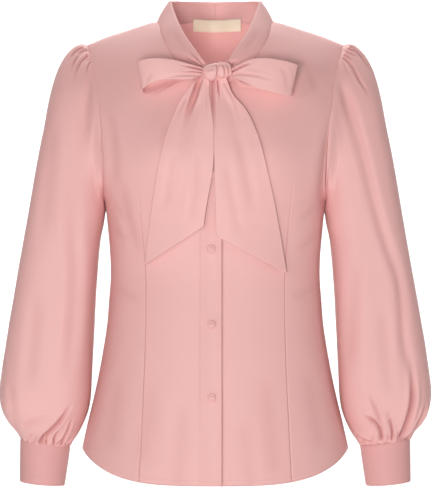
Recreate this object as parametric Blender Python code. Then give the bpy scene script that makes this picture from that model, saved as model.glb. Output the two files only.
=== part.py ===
"""Tie neck blouse, worn shape with no wearer.

Sizes are in millimetres and are turned into metres where a point is made.
+Z is up, the front faces -Y, and the wearer's left arm is at +X.
The origin is the middle of the neck, level with the top of the shoulder seams.
"""

import math
from collections import namedtuple

import bmesh
import bpy
from mathutils import Vector

MM = 0.001
X_AXIS, Y_AXIS = 0, 1

# Cloth
CLOTH = 1.6
BAND_CLOTH = 2.0
TIE_CLOTH = 1.6
LABEL_CLOTH = 0.7
SEAM_GAP = 0.3
LAP_GAP = 0.7

# Body form
SECTION_POWER = 2.3
SHOULDER_POWER = 1.7
SHOULDER_DROP = 105.0
NECK_POINT_X = 80.0
NECK_POINT_Z = 4.0
SHOULDER_SLOPE = 0.358
NECK_RISE = 25.0
NECK_RISE_FROM = 80.0
UNDERARM_Z = -247.0
SHOULDER_TIP_Z = -31.0
BUST_X = 80.0
BUST_Z = -188.0
BUST_FULLNESS = 9.0
BUST_SPREAD_X = 42.0
BUST_SPREAD_Z = 48.0

# Hem, a shirt tail that is longest at the centre front and back
HEM_FRONT_Z = -624.0
HEM_BACK_Z = -621.0
HEM_SIDE_Z = -582.0
HEM_POWER = 3.3

# Front opening
CENTRE_FRONT_X = -5.0
PLACKET_SEAM_X = -20.4
PLACKET_EDGE_X = 9.2
PLACKET_FLAT_FROM_X = -14.0
UNDERLAP_X = -12.0
NECK_BASE_Z = -100.0
BUTTON_TOP_Z = -112.0
BUTTON_PITCH = 99.0
BUTTON_COUNT = 5
BUTTON_RADIUS = 5.7
BUTTON_HEIGHT = 3.6
BUTTON_SIDES = 14
BUTTON_GAP = 0.7

# Waist darts
DART_DEPTH = 0.9
DART_HALF_WIDTH = 3.0
DART_TOP_Z = -212.0
DART_FADE = 30.0
DART_SPREAD = 0.05

BodyRow = namedtuple("BodyRow", "height side front back")
BODY = [
    BodyRow(-632.0, 193.5, 128.0, 131.0),
    BodyRow(-582.0, 183.0, 124.0, 128.0),
    BodyRow(-546.0, 175.0, 120.5, 123.0),
    BodyRow(-513.0, 167.0, 117.0, 118.0),
    BodyRow(-480.0, 160.0, 113.5, 112.5),
    BodyRow(-447.0, 154.0, 110.0, 106.0),
    BodyRow(-414.0, 149.0, 106.0, 99.0),
    BodyRow(-381.0, 146.3, 102.5, 92.5),
    BodyRow(-348.0, 144.0, 100.0, 88.5),
    BodyRow(-315.0, 145.0, 101.0, 88.5),
    BodyRow(-281.5, 148.0, 105.0, 93.0),
    BodyRow(-247.0, 152.3, 111.0, 99.0),
    BodyRow(-240.0, 156.0, 112.0, 100.5),
    BodyRow(-230.0, 160.0, 113.0, 102.0),
    BodyRow(-215.0, 166.0, 114.0, 104.0),
    BodyRow(-200.0, 171.0, 114.5, 106.0),
    BodyRow(-170.0, 179.0, 112.5, 109.0),
    BodyRow(-140.0, 185.0, 107.0, 109.5),
    BodyRow(-100.0, 190.0, 95.0, 107.5),
    BodyRow(-60.0, 193.0, 86.5, 101.0),
    BodyRow(-31.0, 195.0, 81.0, 96.0),
    BodyRow(10.0, 195.0, 77.0, 90.0),
]

EdgeRow = namedtuple("EdgeRow", "height x")
FRONT_ARMHOLE = [
    EdgeRow(-247.0, 152.3),
    EdgeRow(-240.0, 151.9),
    EdgeRow(-230.0, 151.8),
    EdgeRow(-203.0, 152.3),
    EdgeRow(-176.0, 153.5),
    EdgeRow(-148.0, 155.4),
    EdgeRow(-121.0, 158.2),
    EdgeRow(-93.0, 162.0),
    EdgeRow(-63.0, 167.0),
    EdgeRow(-48.5, 171.5),
    EdgeRow(-31.0, 177.7),
]
BACK_ARMHOLE = [
    EdgeRow(-247.0, 152.3),
    EdgeRow(-215.0, 154.5),
    EdgeRow(-180.0, 159.0),
    EdgeRow(-140.0, 164.0),
    EdgeRow(-100.0, 169.0),
    EdgeRow(-60.0, 174.0),
    EdgeRow(-31.0, 177.7),
]
FRONT_NECKLINE = [
    EdgeRow(-100.0, 0.0),
    EdgeRow(-86.0, 22.0),
    EdgeRow(-70.0, 40.0),
    EdgeRow(-51.6, 55.2),
    EdgeRow(-33.3, 66.8),
    EdgeRow(-14.3, 74.7),
    EdgeRow(4.0, 80.0),
]
DART_LINE = [
    EdgeRow(-632.0, 101.5),
    EdgeRow(-480.0, 95.0),
    EdgeRow(-378.0, 93.0),
    EdgeRow(-322.0, 95.0),
    EdgeRow(-215.0, 105.0),
    EdgeRow(-150.0, 113.0),
    EdgeRow(-100.0, 120.0),
    EdgeRow(0.0, 130.0),
]

# Share of the way from the hem up to the underarm, a row of the panels each
LOWER_ROWS = [0.0, 0.06, 0.16, 0.28, 0.40, 0.52, 0.64, 0.74, 0.83, 0.92, 1.0]

# Rows above the underarm: the height at the middle or neckline, and at the armhole
UpperRow = namedtuple("UpperRow", "inner outer")
FRONT_UPPER = [
    UpperRow(-236.0, -243.5),
    UpperRow(-218.0, -234.0),
    UpperRow(-195.0, -215.0),
    UpperRow(-168.0, -189.0),
    UpperRow(-142.0, -163.0),
    UpperRow(-120.0, -140.0),
    UpperRow(-100.0, -119.0),
    UpperRow(-86.0, -101.0),
    UpperRow(-70.0, -84.0),
    UpperRow(-51.6, -69.0),
    UpperRow(-33.3, -55.5),
    UpperRow(-14.3, -43.0),
    UpperRow(4.0, -31.0),
]
BACK_MIDDLE_HEIGHTS = [-236.0, -219.0, -197.0, -170.0, -142.0, -116.0, -92.0, -70.0, -50.0, -32.0, -16.0, -2.0, 9.0]

# Back neckline, a column of the back panel each
NeckRow = namedtuple("NeckRow", "x height")
BACK_NECKLINE = [
    NeckRow(0.0, 9.0),
    NeckRow(15.0, 8.0),
    NeckRow(30.0, 6.0),
    NeckRow(45.0, 3.5),
    NeckRow(60.0, 1.5),
    NeckRow(72.0, 1.5),
    NeckRow(80.0, 4.0),
]

# Top edge of the neck band, by station from the V to the shoulder and round the back
TopRow = namedtuple("TopRow", "x y z")
BAND_TOP_FRONT = [
    TopRow(9.0, -87.5, -66.0),
    TopRow(14.0, -87.0, -60.0),
    TopRow(20.1, -85.5, -51.8),
    TopRow(30.6, -76.0, -36.4),
    TopRow(42.0, -60.5, -18.7),
    TopRow(51.5, -39.5, 1.1),
    TopRow(62.0, -4.0, 28.5),
]
BAND_TOP_BACK = [
    TopRow(0.0, 64.5, 35.5),
    TopRow(15.0, 62.5, 35.3),
    TopRow(29.0, 57.0, 34.8),
    TopRow(42.5, 47.5, 34.0),
    TopRow(54.0, 34.5, 33.0),
    TopRow(61.0, 17.0, 31.0),
    TopRow(62.0, -4.0, 28.5),
]
BAND_ROLL = 1.6

# Sleeve rings: outer and inner edge as the front view shows them, and how deep the ring is
SleeveRing = namedtuple("SleeveRing", "outer_x outer_z inner_x inner_z front back middle_y head gather")
SLEEVE = [
    SleeveRing(178.1, -31.0, 152.7, -247.0, 65.0, 66.0, 0.0, 0.0, 0.0),
    SleeveRing(185.0, -29.0, 153.4, -248.6, 64.5, 66.0, 0.0, 1.5, 0.0),
    SleeveRing(195.0, -32.5, 153.9, -250.4, 63.5, 65.5, 0.0, 2.2, 0.0),
    SleeveRing(208.0, -47.0, 154.2, -252.6, 62.0, 65.0, 0.0, 2.4, 0.0),
    SleeveRing(219.0, -69.0, 154.3, -255.2, 60.5, 64.0, -0.5, 1.9, 0.0),
    SleeveRing(228.5, -104.0, 154.2, -259.0, 58.5, 62.0, -1.0, 1.0, 0.0),
    SleeveRing(236.5, -150.0, 154.2, -266.0, 56.5, 60.0, -2.0, 0.3, 0.0),
    SleeveRing(246.0, -200.0, 155.4, -279.0, 55.0, 58.0, -3.0, 0.0, 0.0),
    SleeveRing(258.0, -268.0, 159.4, -305.0, 54.0, 57.0, -4.5, 0.0, 0.0),
    SleeveRing(272.5, -351.0, 163.9, -361.0, 54.0, 57.0, -6.5, 0.0, 0.0),
    SleeveRing(285.5, -427.0, 167.0, -430.0, 54.5, 57.0, -8.5, 0.0, 0.0),
    SleeveRing(294.0, -486.0, 169.6, -489.0, 55.0, 57.0, -10.5, 0.0, 0.3),
    SleeveRing(295.6, -509.0, 171.0, -512.0, 54.5, 56.0, -11.0, 0.0, 0.8),
    SleeveRing(292.2, -530.5, 174.3, -532.0, 51.5, 53.0, -11.5, 0.0, 1.4),
    SleeveRing(283.5, -548.0, 180.8, -550.0, 46.5, 47.5, -12.0, 0.0, 1.9),
    SleeveRing(274.5, -561.5, 188.5, -565.5, 40.0, 41.0, -12.0, 0.0, 1.8),
    SleeveRing(269.5, -569.0, 195.5, -575.5, 34.5, 35.0, -12.0, 0.0, 1.2),
    SleeveRing(267.3, -573.2, 199.6, -581.4, 31.5, 31.5, -12.0, 0.0, 0.4),
]
# Columns of the sleeve that share each row of the armhole, from the shoulder tip to the underarm
HEAD_SHARES = [3, 3, 3, 3, 2, 2, 2, 1, 1, 1, 1, 1, 1]
HEAD_GATHER_COLUMNS = 12
COLUMNS_PER_GATHER = 4
OVAL_FROM_RING = 7

# Cuff, a strip that laps over itself at the back of the wrist
CuffRing = namedtuple("CuffRing", "outer_x outer_z inner_x inner_z depth")
CUFF = [
    CuffRing(267.7, -573.6, 199.3, -581.9, 32.0),
    CuffRing(268.2, -591.5, 201.5, -599.0, 31.4),
    CuffRing(268.5, -610.5, 204.2, -617.0, 30.6),
    CuffRing(268.7, -629.0, 206.9, -635.0, 29.8),
]
CUFF_MIDDLE_Y = -12.0
CUFF_LAP_ANGLE = 26.0
CUFF_START_ANGLE = 250.0
CUFF_COLUMNS = 36
CUFF_BUTTON_ANGLE = 7.0

# Bow
KNOT_MIDDLE = (3.0, -109.0, -74.4)
KNOT_HALF_DEPTH = 9.5
KNOT_HALF_HEIGHT = 10.3
KNOT_SIDES = 20
KnotRing = namedtuple("KnotRing", "x share")
KNOT = [
    KnotRing(-12.0, 0.62),
    KnotRing(-15.2, 0.68),
    KnotRing(-15.6, 0.78),
    KnotRing(-14.0, 0.88),
    KnotRing(-10.0, 0.97),
    KnotRing(-4.0, 1.03),
    KnotRing(1.0, 1.03),
    KnotRing(3.2, 0.95),
    KnotRing(5.6, 1.02),
    KnotRing(8.2, 0.93),
    KnotRing(10.8, 1.00),
    KnotRing(13.4, 0.90),
    KnotRing(15.8, 0.95),
    KnotRing(18.2, 0.84),
    KnotRing(20.3, 0.84),
    KnotRing(21.4, 0.78),
    KnotRing(21.0, 0.68),
    KnotRing(18.0, 0.62),
]

# Each loop runs out along its front layer, turns, and comes back behind
LoopRow = namedtuple("LoopRow", "x y top bottom slant")
LOOP_RIGHT = [
    LoopRow(-12.6, -111.0, -71.2, -78.0, 0.0),
    LoopRow(-20.0, -113.6, -69.0, -80.0, 0.0),
    LoopRow(-32.0, -117.0, -65.5, -85.0, 0.0),
    LoopRow(-48.0, -121.0, -61.0, -85.4, 0.0),
    LoopRow(-65.0, -122.5, -58.0, -85.8, 0.5),
    LoopRow(-82.0, -120.5, -57.2, -88.5, 1.5),
    LoopRow(-94.0, -116.0, -59.0, -94.0, 2.5),
    LoopRow(-100.2, -110.5, -61.0, -98.0, 3.0),
    LoopRow(-100.2, -104.5, -62.0, -100.5, 3.0),
    LoopRow(-94.0, -99.5, -62.5, -103.5, 2.0),
    LoopRow(-82.0, -97.5, -62.5, -103.0, 1.0),
    LoopRow(-65.0, -97.0, -64.0, -95.5, 0.0),
    LoopRow(-48.0, -98.0, -66.5, -86.5, 0.0),
    LoopRow(-32.0, -101.0, -69.0, -82.0, 0.0),
    LoopRow(-20.0, -104.6, -70.0, -79.5, 0.0),
    LoopRow(-12.6, -107.0, -71.2, -78.0, 0.0),
]
LOOP_LEFT = [
    LoopRow(18.6, -111.0, -71.2, -78.0, 0.0),
    LoopRow(25.0, -114.0, -68.5, -81.5, 0.0),
    LoopRow(33.0, -117.0, -64.5, -88.5, 0.0),
    LoopRow(46.0, -121.0, -59.0, -94.2, 0.0),
    LoopRow(62.0, -123.5, -57.2, -98.8, -1.0),
    LoopRow(80.0, -122.5, -59.0, -103.2, -2.5),
    LoopRow(95.0, -117.5, -62.0, -105.6, -4.0),
    LoopRow(104.7, -110.5, -65.0, -106.5, -4.5),
    LoopRow(104.7, -104.5, -65.5, -106.5, -4.5),
    LoopRow(95.0, -99.5, -66.0, -105.0, -3.0),
    LoopRow(80.0, -97.5, -65.5, -102.0, -1.0),
    LoopRow(62.0, -97.0, -65.0, -97.0, 0.0),
    LoopRow(46.0, -98.0, -66.0, -92.0, 0.0),
    LoopRow(33.0, -100.5, -68.5, -85.5, 0.0),
    LoopRow(25.0, -104.2, -70.0, -80.5, 0.0),
    LoopRow(18.6, -107.0, -71.2, -78.0, 0.0),
]
LOOP_COLUMNS = 5
LOOP_CROWN = 1.6

# Each tail hangs from the knot: its two edges, and how far it stands off the chest at each edge
TailRow = namedtuple("TailRow", "outer_x outer_z inner_x inner_z outer_lift inner_lift fold")
TAIL_RIGHT = [
    TailRow(-17.5, -83.0, -8.0, -86.4, 21.0, 17.5, 0.0),
    TailRow(-31.5, -92.0, -8.4, -92.0, 14.0, 15.5, 4.5),
    TailRow(-43.4, -107.3, -8.6, -102.0, 11.0, 13.5, 6.5),
    TailRow(-53.1, -125.6, -5.6, -120.4, 8.5, 11.5, 6.0),
    TailRow(-61.6, -147.0, -2.9, -141.7, 6.5, 9.5, 4.5),
    TailRow(-69.3, -171.5, -1.6, -165.5, 5.0, 8.5, 3.0),
    TailRow(-75.0, -197.4, -2.0, -189.4, 4.5, 8.4, 2.0),
    TailRow(-80.6, -226.6, -4.0, -212.0, 4.5, 8.4, 1.2),
    TailRow(-85.2, -254.5, -8.0, -234.5, 5.5, 8.4, 0.8),
    TailRow(-89.9, -287.7, -11.8, -255.8, 7.0, 9.0, 0.5),
    TailRow(-94.8, -331.5, -15.5, -280.6, 9.5, 10.5, 0.3),
]
TAIL_LEFT = [
    TailRow(10.6, -85.6, -1.0, -85.9, 17.0, 17.5, 0.0),
    TailRow(21.0, -103.9, -3.2, -96.5, 13.0, 15.5, 3.0),
    TailRow(37.3, -120.1, -3.6, -109.8, 10.0, 13.0, 4.0),
    TailRow(46.9, -135.0, -1.6, -127.0, 8.0, 11.5, 3.5),
    TailRow(54.8, -153.6, 0.2, -147.0, 6.5, 10.0, 2.5),
    TailRow(61.6, -173.5, 0.8, -168.2, 5.0, 9.0, 1.5),
    TailRow(67.4, -197.4, 1.6, -189.4, 4.5, 8.8, 1.0),
    TailRow(73.8, -224.0, 1.9, -213.3, 4.5, 8.8, 0.8),
    TailRow(80.5, -253.2, 2.9, -238.5, 5.5, 8.8, 0.5),
    TailRow(88.0, -293.0, 4.4, -263.8, 7.0, 9.0, 0.4),
    TailRow(96.2, -342.6, 5.7, -293.0, 10.0, 10.5, 0.3),
]
TAIL_COLUMNS = 9
FOLD_AT = 0.42
FOLD_WIDTH = 0.17

# Neck label, sewn at the back neck seam and hanging inside
LABEL_LEFT_X = -31.0
LABEL_RIGHT_X = 36.0
LABEL_TOP_Z = 14.0
LABEL_BOTTOM_Z = -4.0
LABEL_COLUMNS = 8

BLOUSE_PINK = (0.80, 0.45, 0.43, 1.0)
LABEL_CREAM = (0.80, 0.74, 0.62, 1.0)


def share_between(rows, height):
    """The row at or below this height, the next one, and how far between them it is."""
    if height <= rows[0].height:
        return rows[0], rows[0], 0.0
    for low, high in zip(rows, rows[1:]):
        if height <= high.height:
            return low, high, (height - low.height) / (high.height - low.height)
    return rows[-1], rows[-1], 0.0


def curve_value(rows, column, height):
    """Reads one column of a table at a height, on a smooth curve through its rows."""
    low, high, share = share_between(rows, height)
    if low is high:
        return getattr(low, column)
    at = rows.index(low)
    before = rows[max(at - 1, 0)]
    after = rows[min(at + 2, len(rows) - 1)]
    span = high.height - low.height
    start, end = getattr(low, column), getattr(high, column)
    straight = (end - start) / span

    def slope(back, front):
        if front.height == back.height:
            return straight
        return (getattr(front, column) - getattr(back, column)) / (front.height - back.height)

    leaving = slope(before, high) * span
    arriving = slope(low, after) * span
    square, cube = share * share, share**3
    return (
        (2 * cube - 3 * square + 1) * start
        + (cube - 2 * square + share) * leaving
        + (3 * square - 2 * cube) * end
        + (cube - square) * arriving
    )


def straight_value(rows, column, height):
    low, high, share = share_between(rows, height)
    return getattr(low, column) + (getattr(high, column) - getattr(low, column)) * share


def mix(start, end, share):
    return start + (end - start) * share


def ease(share):
    share = min(max(share, 0.0), 1.0)
    return share * share * (3.0 - 2.0 * share)


def shoulder_height(x):
    """Height of the shoulder line above a place across the body."""
    across = abs(x)
    rise = max(0.0, (NECK_RISE_FROM - across) / NECK_RISE_FROM) ** 1.5
    return NECK_POINT_Z - SHOULDER_SLOPE * (across - NECK_POINT_X) + NECK_RISE * rise


def shoulder_rounding(x, z):
    """0 on the shoulder line, 1 where the body has reached its full depth."""
    below = min(max(shoulder_height(x) - z, 0.0) / SHOULDER_DROP, 1.0)
    return (1.0 - (1.0 - below) ** SHOULDER_POWER) ** (1.0 / SHOULDER_POWER)


def bust(x, z):
    across = (abs(x) - BUST_X) / BUST_SPREAD_X
    up = (z - BUST_Z) / BUST_SPREAD_Z
    return BUST_FULLNESS * math.exp(-across * across - up * up)


def form_y(x, z, facing):
    """Depth of the body form. facing is "front" or "back"."""
    side = curve_value(BODY, "side", z)
    depth = curve_value(BODY, facing, z)
    across = min(abs(x) / side, 1.0)
    section = (1.0 - across**SECTION_POWER) ** (1.0 / SECTION_POWER)
    y = shoulder_rounding(x, z) * depth * section
    if facing == "front":
        return -(y + bust(x, z) * section)
    return y


def form_normal(x, z, facing):
    step = 1.0
    slope_x = (form_y(x + step, z, facing) - form_y(x - step, z, facing)) / (2 * step)
    slope_z = (form_y(x, z + step, facing) - form_y(x, z - step, facing)) / (2 * step)
    outward = -1.0 if facing == "front" else 1.0
    return Vector((-slope_x * outward, outward, -slope_z * outward)).normalized()


def on_form(x, z, facing, lift=0.0):
    """A point on the form, moved out by lift."""
    point = Vector((x, form_y(x, z, facing), z))
    if lift:
        point += form_normal(x, z, facing) * lift
    return point


def angle_at(x, z):
    """The angle round the section of a place across it."""
    across = min(abs(x) / curve_value(BODY, "side", z), 1.0)
    return math.copysign(math.asin(across ** (SECTION_POWER / 2.0)), x)


def x_at(angle, z):
    across = abs(math.sin(angle)) ** (2.0 / SECTION_POWER)
    return math.copysign(curve_value(BODY, "side", z) * across, angle)


def hem_height(angle, facing):
    middle = HEM_FRONT_Z if facing == "front" else HEM_BACK_Z
    return middle + (HEM_SIDE_Z - middle) * abs(math.sin(angle)) ** HEM_POWER


def dart_cut(z):
    """How deep the dart's seam is pressed in at a height."""
    return DART_DEPTH * ease((DART_TOP_Z - z) / DART_FADE)


def new_object(name, mesh, colour, roughness):
    material = bpy.data.materials.new(name + "_finish")
    material.use_nodes = True
    shader = material.node_tree.nodes["Principled BSDF"]
    shader.inputs["Base Color"].default_value = colour
    shader.inputs["Roughness"].default_value = roughness
    shader.inputs["Metallic"].default_value = 0.0
    mesh.materials.append(material)
    mesh.shade_smooth()
    mesh.set_sharp_from_angle(angle=math.radians(40.0))
    made = bpy.data.objects.new(name, mesh)
    bpy.context.scene.collection.objects.link(made)
    return made


def cloth(name, rows, thickness, closed=False, flip=False, square=None, facing=None, colour=BLOUSE_PINK):
    """A wall of cloth whose outer side passes through rows of points.

    closed joins each row's ends. square names an axis: within a millimetre of its middle
    plane, the wall is cut square to that axis, so that two pieces meet there without crossing.
    facing is set for a body panel, whose wall follows the body form.
    """
    sheet = bmesh.new()
    grid = [[sheet.verts.new(point * MM) for point in row] for row in rows]
    columns = len(grid[0])
    last = columns if closed else columns - 1
    for low, high in zip(grid, grid[1:]):
        for at in range(last):
            beside = (at + 1) % columns
            corners = [low[at], low[beside], high[beside], high[at]]
            sheet.faces.new(reversed(corners) if flip else corners)
    bmesh.ops.triangulate(sheet, faces=sheet.faces[:], quad_method="SHORT_EDGE")
    sheet.normal_update()
    outer_faces = list(sheet.faces)
    border = [loop for face in outer_faces for loop in face.loops if loop.edge.is_boundary]
    rims = [(loop.vert, loop.link_loop_next.vert) for loop in border]
    inner = {}
    for vert in list(sheet.verts):
        normal = vert.normal.copy()
        if facing is not None:
            normal = form_normal(vert.co.x / MM, vert.co.z / MM, facing)
        if square is not None and abs(vert.co[square]) < 1.0 * MM:
            normal[square] = 0.0
            normal.normalize()
        inner[vert] = sheet.verts.new(vert.co - normal * (thickness * MM))
    for face in outer_faces:
        sheet.faces.new([inner[vert] for vert in reversed(face.verts)])
    for start, end in rims:
        sheet.faces.new([end, start, inner[start], inner[end]])
    mesh = bpy.data.meshes.new(name)
    sheet.to_mesh(mesh)
    sheet.free()
    return new_object(name, mesh, colour, 0.6)


def row_angles(first, dart, last, before, after, z):
    """Angles of a row's columns: evenly up to the dart, three at the dart, evenly to the edge."""
    reach = DART_HALF_WIDTH + max(0.0, z - DART_TOP_Z) * DART_SPREAD
    near = reach / curve_value(BODY, "side", z)
    left, right = dart - near, dart + near
    angles = [mix(first, left, n / before) for n in range(before)]
    angles += [left, dart, right]
    angles += [mix(right, last, (n + 1) / after) for n in range(after)]
    return angles


def panel_points(facing, angles, inner_z, outer_z, dart_column, hem_share=None):
    """A row of points on the form. Heights run from inner_z to outer_z, or follow the hem."""
    first, last = angles[0], angles[-1]
    points = []
    for column, angle in enumerate(angles):
        share = (angle - first) / (last - first)
        z = mix(inner_z, outer_z, share)
        if hem_share is not None:
            z = mix(hem_height(angle, facing), UNDERARM_Z, hem_share)
        x = x_at(angle, z)
        if outer_z == SHOULDER_TIP_Z:
            z = shoulder_height(x)
        cut = dart_cut(z) if column == dart_column else 0.0
        points.append(on_form(x, z, facing, -cut))
    return points


FRONT_COLUMNS_BEFORE = 5
FRONT_COLUMNS_AFTER = 4


def front_row(inner_x, inner_z, outer_z, hem_share=None):
    first = angle_at(inner_x, inner_z)
    last = angle_at(curve_value(FRONT_ARMHOLE, "x", outer_z), outer_z)
    if hem_share is not None:
        last = math.pi / 2
    middle_z = (inner_z + outer_z) / 2
    dart = angle_at(curve_value(DART_LINE, "x", middle_z), middle_z)
    angles = row_angles(first, dart, last, FRONT_COLUMNS_BEFORE, FRONT_COLUMNS_AFTER, middle_z)
    return panel_points("front", angles, inner_z, outer_z, FRONT_COLUMNS_BEFORE + 1, hem_share)


def neckline_x(z):
    return straight_value(FRONT_NECKLINE, "x", z)


def neckline_z(x):
    for low, high in zip(FRONT_NECKLINE, FRONT_NECKLINE[1:]):
        if x <= high.x:
            return mix(low.height, high.height, (x - low.x) / (high.x - low.x))
    return FRONT_NECKLINE[-1].height


def front_rows(edge_x):
    """All rows of a front panel at +X, from hem to shoulder seam. edge_x is its inner edge."""
    rows = []
    for share in LOWER_ROWS:
        z = mix(HEM_FRONT_Z, UNDERARM_Z, share)
        rows.append(front_row(edge_x, z, mix(HEM_SIDE_Z, UNDERARM_Z, share), share))
    for row in FRONT_UPPER:
        inner_x, inner_z = edge_x, row.inner
        if inner_z >= NECK_BASE_Z:
            inner_x = neckline_x(inner_z)
        if inner_x < edge_x:
            inner_x, inner_z = edge_x, neckline_z(edge_x)
        rows.append(front_row(inner_x, inner_z, row.outer))
    return rows


def mirrored(rows):
    return [[Vector((-p.x, p.y, p.z)) for p in row] for row in rows]


def trimmed(rows):
    """Rows with their outer edge and their top edge drawn back by half a seam gap."""
    drawn = [list(row) for row in rows]
    for row in drawn:
        row[-1] = toward(row[-1], row[-2], SEAM_GAP / 2)
    drawn[-1] = [toward(p, q, SEAM_GAP / 2) for p, q in zip(drawn[-1], drawn[-2])]
    return drawn


def toward(point, other, distance):
    return point + (other - point).normalized() * distance


def make_fronts():
    left = front_rows(UNDERLAP_X)
    cloth("front_left", trimmed(left), CLOTH, square=Y_AXIS, facing="front")
    right = front_rows(-PLACKET_SEAM_X + SEAM_GAP)
    right = mirrored(trimmed(right))
    cloth("front_right", right, CLOTH, flip=True, square=Y_AXIS, facing="front")


def placket_lift(x):
    return (CLOTH + LAP_GAP) * ease((x - PLACKET_SEAM_X) / (PLACKET_FLAT_FROM_X - PLACKET_SEAM_X))


PLACKET_COLUMNS = [-20.4, -17.2, -14.0, -6.0, 2.0, 9.2]


def placket_top(x):
    """The placket's top edge follows the neckline on its own side of the V."""
    if x >= 0.0:
        return NECK_BASE_Z - SEAM_GAP
    at = -x / FRONT_NECKLINE[1].x
    return mix(FRONT_NECKLINE[0].height, FRONT_NECKLINE[1].height, at) - SEAM_GAP


def make_placket():
    heights = [mix(HEM_FRONT_Z, UNDERARM_Z, share) for share in LOWER_ROWS]
    heights += [row.inner for row in FRONT_UPPER if row.inner < NECK_BASE_Z - 10.0]
    rows = [[on_form(x, z, "front", placket_lift(x)) for x in PLACKET_COLUMNS] for z in heights]
    top = []
    for x in PLACKET_COLUMNS:
        top.append(on_form(x, placket_top(x), "front", placket_lift(x)))
    rows.append(top)
    cloth("button_placket", rows, CLOTH)


BACK_COLUMNS_BEFORE = 2
BACK_COLUMNS_AFTER = 3


def back_half_angles(middle_z, outer_z, last, neck_share):
    """Angles of half a back row. neck_share is 1 on the top row, where the neckline's columns fall."""
    dart = angle_at(curve_value(DART_LINE, "x", middle_z) - 8.0, middle_z)
    neck = [angle_at(mix(0.62, 1.0, neck_share) * row.x, middle_z) for row in BACK_NECKLINE]
    beyond = row_angles(neck[-1], dart, last, BACK_COLUMNS_BEFORE, BACK_COLUMNS_AFTER, middle_z)
    return neck + beyond[1:]


def back_rows():
    """Rows of the right half of the back, from the centre back out."""
    dart_column = len(BACK_NECKLINE) - 1 + BACK_COLUMNS_BEFORE + 1
    rows = []
    for share in LOWER_ROWS:
        z = mix(HEM_BACK_Z, UNDERARM_Z, share)
        angles = back_half_angles(z, z, math.pi / 2, 0.0)
        rows.append(panel_points("back", angles, z, z, dart_column, share))
    for at, row in enumerate(FRONT_UPPER):
        inner = BACK_MIDDLE_HEIGHTS[at]
        last = angle_at(curve_value(BACK_ARMHOLE, "x", row.outer), row.outer)
        neck_share = ease((at + 1) / len(FRONT_UPPER))
        points = []
        if at < len(FRONT_UPPER) - 1:
            angles = back_half_angles((inner + row.outer) / 2, row.outer, last, neck_share)
            points = panel_points("back", angles, inner, row.outer, dart_column)
        else:
            points = [on_form(n.x, n.height, "back") for n in BACK_NECKLINE]
            middle_z = (NECK_POINT_Z + SHOULDER_TIP_Z) / 2
            angles = back_half_angles(middle_z, SHOULDER_TIP_Z, last, 1.0)
            seam = panel_points("back", angles, NECK_POINT_Z, SHOULDER_TIP_Z, dart_column)
            first, tip = seam[len(points) - 1].x, seam[-1].x
            for point in seam[len(points) :]:
                x = mix(NECK_POINT_X, tip, (point.x - first) / (tip - first))
                points.append(Vector((x, 0.0, shoulder_height(x))))
        rows.append(points)
    return rows


def make_back():
    half = trimmed(back_rows())
    rows = []
    for row in half:
        other = [Vector((-p.x, p.y, p.z)) for p in row[:0:-1]]
        rows.append(other + row)
    cloth("back", rows, CLOTH, flip=True, square=Y_AXIS, facing="back")


def armhole_points(rows):
    """Armhole edge of a panel from the shoulder tip down to the underarm."""
    first = len(LOWER_ROWS) - 1
    return [row[-1] for row in rows[first:]][::-1]


def spread(points, shares):
    """Points along a polyline, with shares[n] of them in its n-th stretch, without the last end."""
    out = []
    for at, count in enumerate(shares):
        out += [points[at].lerp(points[at + 1], n / count) for n in range(count)]
    return out


def ring_frame(ring):
    outer = Vector((ring.outer_x, 0.0, ring.outer_z))
    inner = Vector((ring.inner_x, 0.0, ring.inner_z))
    middle = (outer + inner) / 2
    middle.y = ring.middle_y
    half = (outer - inner).length / 2
    along = (outer - inner).normalized()
    return middle, half, along


def sleeve_rows():
    """Rings of the sleeve at +X. Columns run from the shoulder tip over the front to the underarm and back."""
    front = spread(armhole_points(front_rows(UNDERLAP_X)), HEAD_SHARES)
    underarm = armhole_points(front_rows(UNDERLAP_X))[-1]
    back = spread(armhole_points(back_rows()), HEAD_SHARES)
    seam = front + [underarm] + back[:0:-1]
    count = len(seam)
    middle, half, along = ring_frame(SLEEVE[0])
    normal = Vector((along.z, 0.0, -along.x))
    shape = []
    for column, point in enumerate(seam):
        offset = point - middle
        depth = SLEEVE[0].front if offset.y < 0 else SLEEVE[0].back
        shape.append((offset.dot(along) / half, -offset.y / depth, offset.dot(normal)))
    rings = []
    for at, ring in enumerate(SLEEVE):
        middle, half, along = ring_frame(ring)
        normal = Vector((along.z, 0.0, -along.x))
        round_share = ease(at / OVAL_FROM_RING)
        points = []
        for column, (up, forward, bow) in enumerate(shape):
            turn = 2 * math.pi * column / count
            up_now = mix(up, math.cos(turn), round_share)
            forward_now = mix(forward, math.sin(turn), round_share)
            depth = ring.front if forward_now > 0 else ring.back
            point = middle + along * (half * up_now) + Vector((0, -depth * forward_now, 0))
            point += normal * bow * (1 - round_share)
            wave = math.cos(2 * math.pi * column / COLUMNS_PER_GATHER)
            from_top = min(column, count - column)
            near_top = ease(2.0 - 2.0 * from_top / HEAD_GATHER_COLUMNS)
            swell = ring.gather * wave + ring.head * near_top * wave
            outward = Vector((along.x * up_now, -forward_now, along.z * up_now)).normalized()
            points.append(point + outward * swell)
        rings.append(points)
    rings[0] = [p + Vector((SEAM_GAP, 0, 0)) for p in seam]
    return rings


def make_sleeves():
    rings = sleeve_rows()
    cloth("sleeve_left", rings, CLOTH, closed=True)
    cloth("sleeve_right", mirrored(rings), CLOTH, closed=True, flip=True)


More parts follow.
